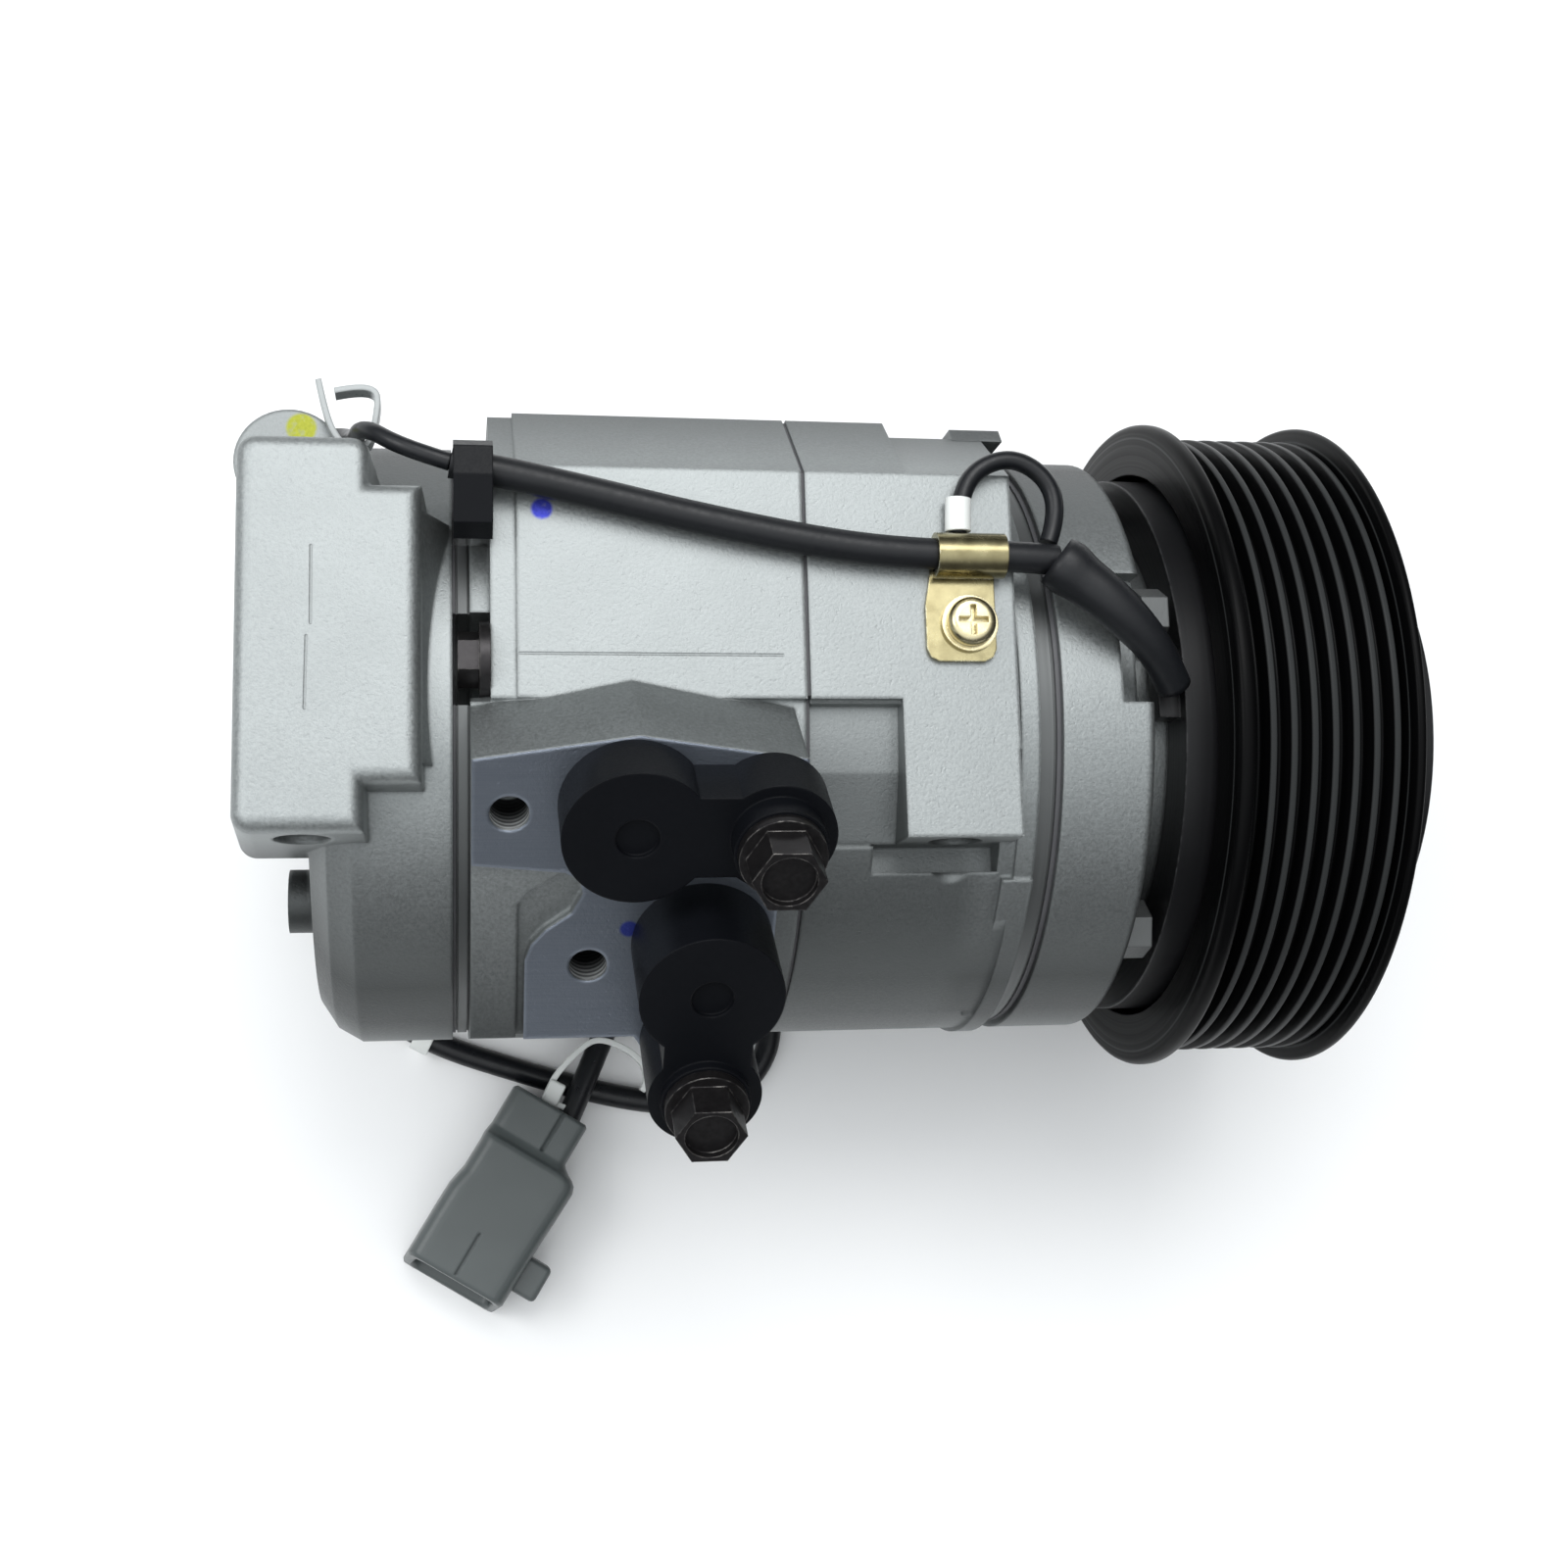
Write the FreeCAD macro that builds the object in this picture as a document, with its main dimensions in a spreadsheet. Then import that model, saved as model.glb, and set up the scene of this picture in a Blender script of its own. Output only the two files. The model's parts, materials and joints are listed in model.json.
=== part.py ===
import FreeCAD, Part
import math
import os
import re

import Sketcher

# Automotive air-conditioning compressor, ten-cylinder swash-plate type, with an electromagnetic clutch.
#
# Frame: X runs along the shaft, towards the clutch. The origin is on the shaft axis, in the middle plane
# of the drive belt. +Z is the side that carries the flat muffler face. The mounting bolts run along Y.
# All lengths are in millimetres, and angles in degrees.

Vector = FreeCAD.Vector
Placement = FreeCAD.Placement
Rotation = FreeCAD.Rotation

SIZES = {
    # castings, by stations along the shaft
    "front_face": -28.5,
    "front_joint": -44.2,
    "front_block_end": -48.3,
    "seam": -86.0,
    "seam_gap": 0.3,
    "rear_block_end": -138.5,
    "rear_joint": -141.2,
    "rear_end": -165.0,
    "body_radius": 52.0,
    "collar_radius": 52.7,
    "collar_length": 3.2,
    "chamber_depth": 9.0,
    "edge_round": 1.5,
    # muffler box and its flat face
    "face_height": 53.5,
    "face_edge": 34.9,
    "muffler_side": 49.0,
    "muffler_shoulder": 37.2,
    "muffler_foot": 12.0,
    "lip_rear": -135.4,
    "lip_front": -131.4,
    "lip_drop": 0.8,
    "muffler_front": -69.0,
    # the two flanged bolts behind the lip
    "low_lip_bolt_y": 4.6,
    "low_lip_bolt_z": 49.6,
    "high_lip_bolt_y": 31.0,
    "high_lip_bolt_z": 47.6,
    "lip_bolt_recess": 7.4,
    "lip_bolt_shank": 2.6,
    # mounting boxes and lugs; all four bolts run along Y
    "rear_bolt_x": -163.5,
    "front_bolt_x": -62.0,
    "upper_bolt_z": 47.4,
    "rear_bolt_z": 50.0,
    "lower_bolt_z": -57.0,
    "rear_foot_bolt_x": -150.8,
    "rear_foot_low": -13.0,
    "mount_bolt_radius": 4.3,
    "lug_low": -24.0,
    "lug_high": 37.0,
    "rear_box_top": 57.0,
    "rear_box_floor": 33.0,
    "foot_level": -66.0,
    "foot_root": -36.0,
    # port block, on a face turned about the shaft axis
    "port_tilt": 40.0,
    "port_face": 58.0,
    "port_root": 39.4,
    "port_bore": 8.2,
    "port_bore_small": 6.6,
    "suction_x": -114.6,
    "suction_up": 23.2,
    "suction_bolt_x": -93.8,
    "discharge_x": -102.5,
    "discharge_up": -2.4,
    "discharge_bolt_up": -21.3,
    "stud_x": -132.9,
    "stud_up": 21.7,
    "stud_low_x": -120.3,
    "stud_low_up": -6.5,
    "thread_radius": 3.0,
    "suction_cap_height": 9.7,
    "suction_collar": 4.0,
    "discharge_cap_height": 15.0,
    "discharge_collar": 1.6,
    "cap_lobe": 11.2,
    "cap_ear": 9.0,
    "cap_waist": 6.9,
    # cylinders and pistons
    "bore_radius": 12.0,
    "bore_pitch": 30.5,
    "bore_angle": 54.0,
    "piston_radius": 11.95,
    "piston_length": 67.0,
    "piston_pocket": 38.0,
    "bridge_floor": 38.4,
    "swash_x": -93.4,
    "swash_tilt": 18.0,
    "swash_radius": 37.4,
    "swash_thickness": 6.0,
    "swash_hub_radius": 14.0,
    "swash_hub_half": 16.4,
    "chamber_half": 19.5,
    "chamber_radius": 38.4,
    "shoe_radius": 6.8,
    # through bolts
    "bolt_circle": 45.5,
    "bolt_angle": 18.0,
    "bolt_radius": 3.0,
    "bolt_hole": 3.3,
    "bolt_head": 5.0,
    "bolt_head_height": 4.6,
    # valve plates
    "plate_radius": 50.8,
    "front_plate_rear": -47.9,
    "front_plate_front": -45.4,
    "rear_plate_front": -138.8,
    "rear_plate_rear": -140.4,
    "suction_port_pitch": 35.0,
    "discharge_port_pitch": 21.8,
    "valve_port": 3.4,
    "discharge_chamber": 25.2,
    "suction_chamber": 28.0,
    # shaft line
    "shaft_radius": 8.0,
    "shaft_rear": -128.0,
    "spline_start": 4.0,
    "spline_radius": 7.6,
    "shaft_front": 22.0,
    "shaft_clear": 9.2,
    "needle_seat": 11.05,
    "needle_cage": 9.5,
    "needle_radius": 1.4,
    "needle_length": 14.0,
    "thrust_outer": 17.0,
    "seal_bore": 13.5,
    # housing nose, field coil and its rings
    "nose_radius": 17.5,
    "nose_front": 10.0,
    "coil_seat": -22.5,
    "coil_boss": 40.5,
    "coil_spigot": 26.0,
    "coil_outer": 49.2,
    "coil_inner": 33.3,
    "coil_front": 5.0,
    "coil_wall": 2.6,
    "coil_plate": 2.2,
    # belt pulley: ribs of the standard automotive belt section
    "rib_pitch": 3.56,
    "rib_tip": 57.1,
    "rib_root": 54.6,
    "rib_half": 0.55,
    "root_half": 0.4,
    "flange_radius": 59.6,
    "pulley_rear": -17.6,
    "pulley_front": 14.6,
    "rotor_face": 12.0,
    "rotor_wall": 8.0,
    "rim_inner": 50.3,
    "hub_outer": 32.2,
    # pulley bearing, two rows of balls
    "bearing_rear": -12.0,
    "bearing_front": 8.0,
    "bearing_outer": 27.5,
    "inner_shoulder": 20.8,
    "outer_shoulder": 24.2,
    "ball_pitch": 22.5,
    "ball_radius": 3.0,
    "ball_gap": 0.05,
    "ball_row": 4.6,
    # clutch armature and hub
    "air_gap": 0.5,
    "armature_radius": 50.0,
    "armature_inner": 26.5,
    "armature_thickness": 3.8,
    "spring_rear": 16.9,
    "spring_thickness": 0.8,
    "damper_outer": 39.5,
    "damper_inner": 30.0,
    "damper_front": 26.0,
    "hub_flange": 20.0,
    "hub_boss": 11.0,
    # wiring
    "sleeve_radius": 2.5,
    "lead_radius": 1.4,
    "tube_radius": 2.4,
    "boot_radius": 4.2,
    "earth_radius": 1.5,
    "clamp_x": -60.0,
    "clamp_y": 20.7,
    "clamp_width": 11.3,
    "clamp_metal": 1.0,
    "screw_y": 10.0,
    "connector_x": -121.5,
    "connector_y": -64.0,
    "connector_z": -57.2,
    "connector_turn": 238.1,
}

CYLINDERS = 5
BALLS = 13
NEEDLES = 16
RIBS = 7
SWEEP = 360.0 / CYLINDERS
LIP_BOLTS = (("low_lip_bolt_y", "low_lip_bolt_z"), ("high_lip_bolt_y", "high_lip_bolt_z"))

doc = FreeCAD.newDocument("ac_compressor")
sheet = doc.addObject("Spreadsheet::Sheet", "Sizes")
for row, (alias, value) in enumerate(SIZES.items(), start=1):
    sheet.set(f"A{row}", alias)
    sheet.set(f"B{row}", str(value))
    sheet.setAlias(f"B{row}", alias)
doc.recompute()

parts = []
WORD = re.compile(r"[a-z][a-z0-9_]*")
PLANES = {"end": "YZ_Plane", "top": "XY_Plane", "side": "XZ_Plane", "port": "XY_Plane"}


# ---- drawing helpers: every size is an expression over the sheet ----

def bound(text):
    """The expression with each driving dimension pointed at its cell."""
    return WORD.sub(lambda hit: "Sizes." + hit[0] if hit[0] in SIZES else hit[0], str(text))


def new_part(name, kind="PartDesign::Body"):
    """A sub-part of the assembly, whose Label names its file."""
    part = doc.addObject(kind, name)
    part.Label = name
    parts.append(part)
    return part


def helper(name, kind, **sizes):
    """A construction solid that a boolean of a sub-part uses."""
    solid = doc.addObject(kind, name)
    for size, text in sizes.items():
        solid.setExpression(size, bound(text))
    return solid


def origin_of(body, role):
    """One of a body's own origin planes or axes."""
    return next(item for item in body.Origin.OriginFeatures if item.Role == role)


def sketch_on(body, plane, start):
    """A sketch square to the named direction, at the given station along it."""
    sketch = body.newObject("Sketcher::SketchObject", body.Name + "_sketch")
    sketch.AttachmentSupport = [(origin_of(body, PLANES[plane]), "")]
    sketch.MapMode = "FlatFace"
    if plane == "port":
        sketch.AttachmentOffset = Placement(Vector(0, 0, 1), Rotation(Vector(1, 0, 0), 40))
        sketch.setExpression("AttachmentOffset.Rotation.Angle", bound("port_tilt"))
        sketch.setExpression("AttachmentOffset.Base.y", bound(f"-({start}) * sin(port_tilt)"))
        sketch.setExpression("AttachmentOffset.Base.z", bound(f"({start}) * cos(port_tilt)"))
    elif plane == "side":
        sketch.setExpression("AttachmentOffset.Base.z", bound(f"-({start})"))
    else:
        sketch.setExpression("AttachmentOffset.Base.z", bound(start))
    return sketch


def pin_point(sketch, geometry, corner, across, up):
    """Bind one point of the sketch to two expressions."""
    for kind, text in (("DistanceX", across), ("DistanceY", up)):
        index = sketch.addConstraint(Sketcher.Constraint(kind, -1, 1, geometry, corner, 1.0))
        sketch.setExpression(f"Constraints[{index}]", bound(text))


def draw_outline(sketch, points):
    """A closed polygon, with each corner bound to its pair of expressions."""
    count = len(points)
    base = sketch.GeometryCount
    turns = [2 * math.pi * k / count for k in range(count)]
    corners = [Vector(math.cos(turn), math.sin(turn), 0) for turn in turns]
    for k in range(count):
        sketch.addGeometry(Part.LineSegment(corners[k], corners[(k + 1) % count]), False)
    for k in range(count):
        sketch.addConstraint(Sketcher.Constraint("Coincident", base + k, 2, base + (k + 1) % count, 1))
    for k, (across, up) in enumerate(points):
        pin_point(sketch, base + k, 1, across, up)


def draw_circle(sketch, across, up, radius):
    """A circle bound to three expressions."""
    circle = sketch.addGeometry(Part.Circle(Vector(0, 0, 0), Vector(0, 0, 1), 1.0), False)
    index = sketch.addConstraint(Sketcher.Constraint("Radius", circle, 1.0))
    sketch.setExpression(f"Constraints[{index}]", bound(radius))
    pin_point(sketch, circle, 3, across, up)


def extrude(body, plane, start, length, cut, draw, taper=None):
    """Pad or pocket a drawing from its station, along the plane's positive direction."""
    sketch = sketch_on(body, plane, start)
    draw(sketch)
    kind = "PartDesign::Pocket" if cut else "PartDesign::Pad"
    feature = body.newObject(kind, body.Name + ("_cut" if cut else "_pad"))
    feature.Profile = (sketch, [""])
    feature.setExpression("Length", bound(length))
    feature.Reversed = (plane == "side") != bool(cut)
    if taper is not None:
        feature.TaperAngle = taper
    return feature


def block(body, plane, points, start, length, cut=False, taper=None):
    return extrude(body, plane, start, length, cut, lambda sketch: draw_outline(sketch, points), taper)


def rods(body, plane, circles, start, length, cut=False):
    def draw(sketch):
        for circle in circles:
            draw_circle(sketch, *circle)
    return extrude(body, plane, start, length, cut, draw)


def turned(body, points, cut=False):
    """Revolve an outline of (station, radius) corners about the shaft axis."""
    sketch = sketch_on(body, "top", "0")
    draw_outline(sketch, points)
    kind = "PartDesign::Groove" if cut else "PartDesign::Revolution"
    feature = body.newObject(kind, body.Name + ("_groove" if cut else "_turned"))
    feature.Profile = (sketch, [""])
    feature.ReferenceAxis = (sketch, ["H_Axis"])
    feature.Angle = 360
    return feature


def ring(rear, front, inner, outer):
    """The outline of a plain ring between two stations."""
    return [(rear, inner), (rear, outer), (front, outer), (front, inner)]


def around(body, features, count):
    """Repeat features evenly about the shaft axis."""
    pattern = body.newObject("PartDesign::PolarPattern", body.Name + "_pattern")
    pattern.Originals = features
    pattern.Axis = (origin_of(body, "X_Axis"), [""])
    pattern.Angle = 360
    pattern.Occurrences = count
    body.Tip = pattern
    return pattern


def rounded(body, radius, wanted):
    """Fillet the edges of the body's present shape that the test picks."""
    doc.recompute()
    base = body.Tip
    names = [f"Edge{k}" for k, edge in enumerate(base.Shape.Edges, start=1) if wanted(edge)]
    if not names:
        raise RuntimeError(f"{body.Label}: no edge to round")
    fillet = body.newObject("PartDesign::Fillet", body.Name + "_fillet")
    fillet.Base = (base, names)
    fillet.setExpression("Radius", bound(radius))
    return fillet


def polar(radius, angle):
    """Across and up of a point about the shaft, with the angle measured from +Z towards +Y."""
    return f"({radius}) * sin({angle})", f"({radius}) * cos({angle})"


def hexagon(across, up, corner_radius):
    """Corner expressions of a hexagon."""
    return [
        (f"({across}) + ({corner_radius}) * cos({60 * k})", f"({up}) + ({corner_radius}) * sin({60 * k})")
        for k in range(6)
    ]


def circle_edge_at(radius, axis_value, tolerance=0.02):
    """A test for full circles about the shaft of one radius and station."""
    def test(edge):
        curve = edge.Curve
        return (isinstance(curve, Part.Circle) and abs(curve.Radius - radius) < tolerance
                and abs(curve.Center.x - axis_value) < tolerance
                and math.hypot(curve.Center.y, curve.Center.z) < 0.1)
    return test


def bolt_holes(body, start, length):
    """The five holes for the through bolts."""
    hole = rods(body, "end", [(*polar("bolt_circle", "bolt_angle"), "bolt_hole")], start, length, cut=True)
    around(body, [hole], CYLINDERS)


def cylinder_bores(body, start, length, radius="bore_radius"):
    """The five bores that the pistons run in."""
    bore = rods(body, "end", [(*polar("bore_pitch", "bore_angle"), radius)], start, length, cut=True)
    around(body, [bore], CYLINDERS)


# ---- castings ----

def muffler_outline(inset="0", shoulder="muffler_side", low="-2"):
    """The muffler box seen along the shaft: flat face, sloped corner and side."""
    return [
        (low, "30"),
        (low, f"face_height - ({inset})"),
        (f"face_edge - ({inset}) * 0.4", f"face_height - ({inset})"),
        (f"{shoulder} - ({inset})", "muffler_shoulder"),
        (f"{shoulder} - ({inset})", "muffler_foot"),
        ("30", "muffler_foot"),
    ]


def lug_foot(body, bolt_x, half_width, low):
    """A lower mounting lug, bored along Y, which the compressor also stands on."""
    outline = [
        (f"{bolt_x} - {half_width} + 1.5", "foot_level"), (f"{bolt_x} + {half_width} - 1.5", "foot_level"),
        (f"{bolt_x} + {half_width}", "foot_level + 2"), (f"{bolt_x} + {half_width}", "foot_root"),
        (f"{bolt_x} - {half_width}", "foot_root"), (f"{bolt_x} - {half_width}", "foot_level + 2"),
    ]
    block(body, "side", outline, low, f"lug_high - ({low})")


def front_housing():
    body = new_part("front_housing")
    turned(body, [
        ("front_joint", "shaft_clear"), ("front_joint", "body_radius"), ("front_face", "body_radius"),
        ("front_face", "coil_boss"), ("coil_seat", "coil_boss"), ("coil_seat", "coil_spigot"),
        ("-17", "coil_spigot"), ("-17", "21"), ("bearing_rear", "21"), ("bearing_rear", "nose_radius"),
        ("nose_front", "nose_radius"), ("nose_front", "seal_bore"), ("-13", "seal_bore"),
        ("-13", "shaft_clear"),
    ])
    rounded(body, "edge_round", circle_edge_at(SIZES["body_radius"], SIZES["front_face"]))
    turned(body, ring("front_joint - 1", "front_joint + chamber_depth", "13", "discharge_chamber"), cut=True)
    turned(body, ring("front_joint - 1", "front_joint + chamber_depth", "suction_chamber", "40.5"), cut=True)
    turned(body, ring("-20.2", "-18.9", "coil_spigot - 1", "coil_spigot + 1"), cut=True)
    turned(body, ring("bearing_front + 0.1", "bearing_front + 1.4", "nose_radius - 0.9",
                      "nose_radius + 1"), cut=True)
    turned(body, ring("-1.4", "-0.1", "seal_bore - 1", "seal_bore + 0.8"), cut=True)
    # the rim is cut back where the coil lead comes out
    block(body, "end", [("-2", "43"), ("-2", "60"), ("20.5", "60"), ("20.5", "43")], "-34", "8", cut=True)
    bolt_holes(body, "front_joint - 1", "front_face - front_joint + 2")


def front_cylinder_block():
    body = new_part("front_cylinder_block")
    turned(body, [
        ("seam + seam_gap", "0"), ("seam + seam_gap", "body_radius"),
        ("front_block_end - collar_length", "body_radius"),
        ("front_block_end - collar_length", "collar_radius"),
        ("front_block_end", "collar_radius"), ("front_block_end", "0"),
    ])
    block(body, "end", muffler_outline(), "seam + seam_gap", "muffler_front - seam - seam_gap")
    block(body, "end", muffler_outline(shoulder="46.5", low="-10"), "muffler_front - 1", "18")
    # hollow beside the upper mounting box, then the box, flush with the flat face
    block(body, "end", [("-24.5", "60"), ("-24.5", "44"), ("-13", "48.2"), ("-2.5", "49.4"), ("-2.5", "60")],
          "seam - 1", "16", cut=True)
    block(body, "top", [("-71", "lug_low"), ("-52.2", "lug_low"), ("-52.2", "5"), ("-71", "5")],
          "30", "face_height - 30")
    # bolt boss on the collar and the thread boss above it
    block(body, "end", [("46", "20"), ("46", "38"), ("48.6", "36"), ("48.6", "20")], "-57", "8.7")
    block(body, "end", [("-50.5", "14"), ("-36", "38.5"), ("-30", "44"), ("-20", "30"), ("-30", "14")],
          "-53.5", "5.2")
    lug_foot(body, "front_bolt_x", "13.4", "lug_low")
    # clearance under the box for the bolt's head, then the blind bolt hole
    block(body, "top", [("-75", "lug_low - 4.5"), ("-54.2", "lug_low - 4.5"), ("-54.2", "lug_low"),
                        ("-75", "lug_low")],
          "40", "20", cut=True)
    rods(body, "side", [("front_bolt_x", "upper_bolt_z", "mount_bolt_radius + 0.7")], "lug_low - 12",
         "11", cut=True)
    rods(body, "side", [("front_bolt_x", "upper_bolt_z", "mount_bolt_radius")], "lug_low - 2", "31", cut=True)
    rods(body, "side", [("front_bolt_x", "lower_bolt_z", "mount_bolt_radius")], "lug_low - 5", "80", cut=True)
    rods(body, "top", [("clamp_x", "screw_y", "2.2")], "45", "20", cut=True)
    cylinder_bores(body, "seam", "front_block_end - seam + 1")
    turned(body, ring("seam", "swash_x + chamber_half", "0", "chamber_radius"), cut=True)
    rods(body, "end", [("0", "0", "shaft_clear")], "seam", "front_block_end - seam + 1", cut=True)
    rods(body, "end", [("0", "0", "needle_seat")], "seam",
         "swash_x + chamber_half + needle_length - seam", cut=True)
    bolt_holes(body, "seam", "front_block_end - seam + 1")


def port_outline():
    """The machined port face: (along the shaft, up the slope)."""
    return [
        ("rear_block_end", "31"), ("-113.9", "35"), ("-88.3", "31"), ("-87.2", "22"), ("-88.8", "12"),
        ("-91", "4"), ("-91", "-14"), ("-94", "-27"), ("-97", "-30.5"), ("-107", "-30.5"),
        ("-109.4", "-26"), ("-112.5", "-20.8"), ("rear_block_end", "-20.8"),
    ]


def rear_cylinder_block():
    body = new_part("rear_cylinder_block")
    turned(body, ring("rear_block_end", "seam - seam_gap", "0", "body_radius"))
    block(body, "end", muffler_outline(), "lip_front", "seam - seam_gap - lip_front")
    block(body, "end", muffler_outline(inset="lip_drop"), "lip_rear", "lip_front - lip_rear")
    # recess for the two flanged bolts behind the lip
    rods(body, "end", [(*place, "lip_bolt_recess") for place in LIP_BOLTS],
         "rear_block_end - 1", "lip_rear - rear_block_end + 1", cut=True)
    rods(body, "end", [(*place, "lip_bolt_shank") for place in LIP_BOLTS], "lip_rear - 1", "13", cut=True)
    block(body, "port", port_outline(), "port_root", "port_face - port_root")
    # the corner of the port face left as cast: a strip along the rear edge and a lower curved pocket
    block(body, "port", [("rear_block_end - 2", "-30"), ("-131.4", "-30"), ("-131.4", "5"), ("-129.5", "7.6"),
                         ("-124.4", "11"), ("rear_block_end - 2", "12.6")], "port_face - 0.5", "2", cut=True)
    block(body, "port", [("-131.4", "-30"), ("-130.1", "-30"), ("-130.2", "-5.2"), ("-129.3", "-2.4"),
                         ("-127.1", "0.4"), ("-123.2", "3.5"), ("-121.5", "7.1"), ("-122", "9.6"),
                         ("-124.4", "11"), ("-129.5", "7.6"), ("-131.4", "5")],
          "port_face - 1.4", "3", cut=True)
    # ports, their studs' threads and the threads of the cap bolts
    rods(body, "port", [("suction_x", "suction_up", "port_bore")], "port_face - 12", "20", cut=True)
    rods(body, "port", [("discharge_x", "discharge_up", "port_bore_small")], "port_face - 8", "20", cut=True)
    rods(body, "port", [
        ("stud_x", "stud_up", "thread_radius"), ("stud_low_x", "stud_low_up", "thread_radius"),
        ("suction_bolt_x", "suction_up", "thread_radius"),
        ("discharge_x", "discharge_bolt_up", "thread_radius"),
    ], "port_face - 9", "20", cut=True)
    cylinder_bores(body, "rear_block_end - 1", "seam - rear_block_end + 1")
    turned(body, ring("swash_x - chamber_half", "seam", "0", "chamber_radius"), cut=True)
    rods(body, "end", [("0", "0", "shaft_clear")], "rear_block_end - 1", "60", cut=True)
    rods(body, "end", [("0", "0", "needle_seat")], "swash_x - chamber_half - needle_length",
         "chamber_half + needle_length", cut=True)
    bolt_holes(body, "rear_block_end - 1", "seam - rear_block_end + 1")


def rear_housing():
    body = new_part("rear_housing")
    turned(body, [
        ("rear_joint", "0"), ("rear_joint", "body_radius"), ("-156.5", "body_radius"), ("-160.5", "49.6"),
        ("-163.3", "45.2"), ("rear_end + 0.4", "30"), ("rear_end", "0"),
    ])
    box = [
        ("-174.5", "lug_low"), ("-153.3", "lug_low"), ("-153.3", "-16.7"), ("-144.8", "-16.7"),
        ("-144.8", "31.6"), ("-152.4", "31.6"), ("-152.4", "lug_high + 2"), ("-174.3", "lug_high + 2"),
    ]
    block(body, "top", box, "rear_box_floor", "rear_box_top - rear_box_floor", taper=-2.5)
    rounded(body, "3", lambda edge: edge.BoundBox.ZLength > 18 and edge.BoundBox.ZMin > 32.9)
    rounded(body, "2.4", lambda edge: edge.BoundBox.ZMin > SIZES["rear_box_top"] - 0.01)
    # sloping side of the box towards the joint
    slope = [("-150", "36"), ("-141.6", "36"), ("-141.6", "45.5"), ("-146.2", "54.6"), ("-150", "54.6")]
    block(body, "side", slope, "-12.2", "39.4")
    # web from the box down to the dome, the round end of the upper boss, and a small threaded boss
    block(body, "end", [("-20", "20"), ("-20", "rear_box_floor + 1"), ("34", "rear_box_floor + 1"),
                        ("34", "20")],
          "-168.5", "14")
    rods(body, "top", [("-166.4", "37.6", "8.6")], "33", "11")
    rods(body, "end", [("-29.5", "19.5", "5.2")], "-167.5", "8")
    lug_foot(body, "rear_foot_bolt_x", "9.2", "rear_foot_low")
    rods(body, "side", [("rear_bolt_x", "rear_bolt_z", "mount_bolt_radius")], "lug_low - 5", "80", cut=True)
    rods(body, "side", [("rear_foot_bolt_x", "lower_bolt_z", "mount_bolt_radius")], "lug_low - 5", "80",
         cut=True)
    rods(body, "end", [("-29.5", "19.5", "2.6")], "-168", "7", cut=True)
    rods(body, "end", [("0", "0", "7")], "rear_end - 1", "9", cut=True)
    turned(body, ring("rear_joint - chamber_depth", "rear_joint + 1", "13", "discharge_chamber"), cut=True)
    turned(body, ring("rear_joint - chamber_depth", "rear_joint + 1", "suction_chamber", "40.5"), cut=True)
    bolt_holes(body, "rear_joint - 11", "12")


# ---- gaskets, valve plates and reeds between the castings ----

def centre_gasket():
    body = new_part("centre_gasket")
    turned(body, ring("seam - seam_gap", "seam + seam_gap", "chamber_radius", "body_radius - 0.5"))
    block(body, "end", muffler_outline(inset="0.5", low="-1.5"), "seam - seam_gap", "2 * seam_gap")
    cylinder_bores(body, "seam - 1", "2")
    turned(body, ring("seam - 1", "seam + 1", "0", "chamber_radius"), cut=True)
    bolt_holes(body, "seam - 1", "2")


def pierced_disc(name, rear, front, radius="plate_radius", inner="shaft_clear", notch=False):
    """A disc between two castings, with its bolt holes and, at the rear, room for the lip bolts."""
    body = new_part(name)
    turned(body, ring(rear, front, inner, radius))
    if notch:
        rods(body, "end", [(*place, "lip_bolt_recess") for place in LIP_BOLTS], f"{rear} - 1", "6", cut=True)
    bolt_holes(body, f"{rear} - 1", "6")
    return body


def valve_plate(name, rear, front, notch):
    body = pierced_disc(name, rear, front, notch=notch)
    ports = rods(body, "end", [
        (*polar("suction_port_pitch", "bore_angle"), "valve_port"),
        (*polar("discharge_port_pitch", "bore_angle"), "valve_port - 0.6"),
    ], f"{rear} - 1", "6", cut=True)
    around(body, [ports], CYLINDERS)


def reeds(name, block_side, chamber_side, notch):
    """Suction and discharge reed sheets, one each side of a valve plate."""
    body = new_part(name)
    for rear, front in (block_side, chamber_side):
        turned(body, ring(rear, front, "shaft_clear + 0.3", "plate_radius - 0.4"))
    low = min(block_side[0], chamber_side[0], key=len)
    across, up = polar("28.8", "bore_angle")
    slot = rods(body, "end", [(across, up, "2.2")], f"{low} - 4", "12", cut=True)
    around(body, [slot], CYLINDERS)
    if notch:
        rods(body, "end", [(*place, "lip_bolt_recess") for place in LIP_BOLTS], f"{low} - 4", "12", cut=True)
    bolt_holes(body, f"{low} - 4", "12")


def head_gasket(name, rear, front):
    body = pierced_disc(name, rear, front, notch=name.startswith("rear"))
    windows = rods(body, "end", [
        (*polar("suction_port_pitch", "bore_angle"), "valve_port + 1.4"),
        (*polar("discharge_port_pitch", "bore_angle"), "valve_port"),
    ], f"{rear} - 1", "6", cut=True)
    around(body, [windows], CYLINDERS)


# ---- fasteners ----

def through_bolts():
    body = new_part("through_bolts")
    centre = polar("bolt_circle", "bolt_angle")
    shank = rods(body, "end", [(*centre, "bolt_radius")], "rear_joint - 10", "front_face - rear_joint + 10")
    head = block(body, "end", hexagon(*centre, "bolt_head"), "front_face", "bolt_head_height")
    around(body, [shank, head], CYLINDERS)


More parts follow.
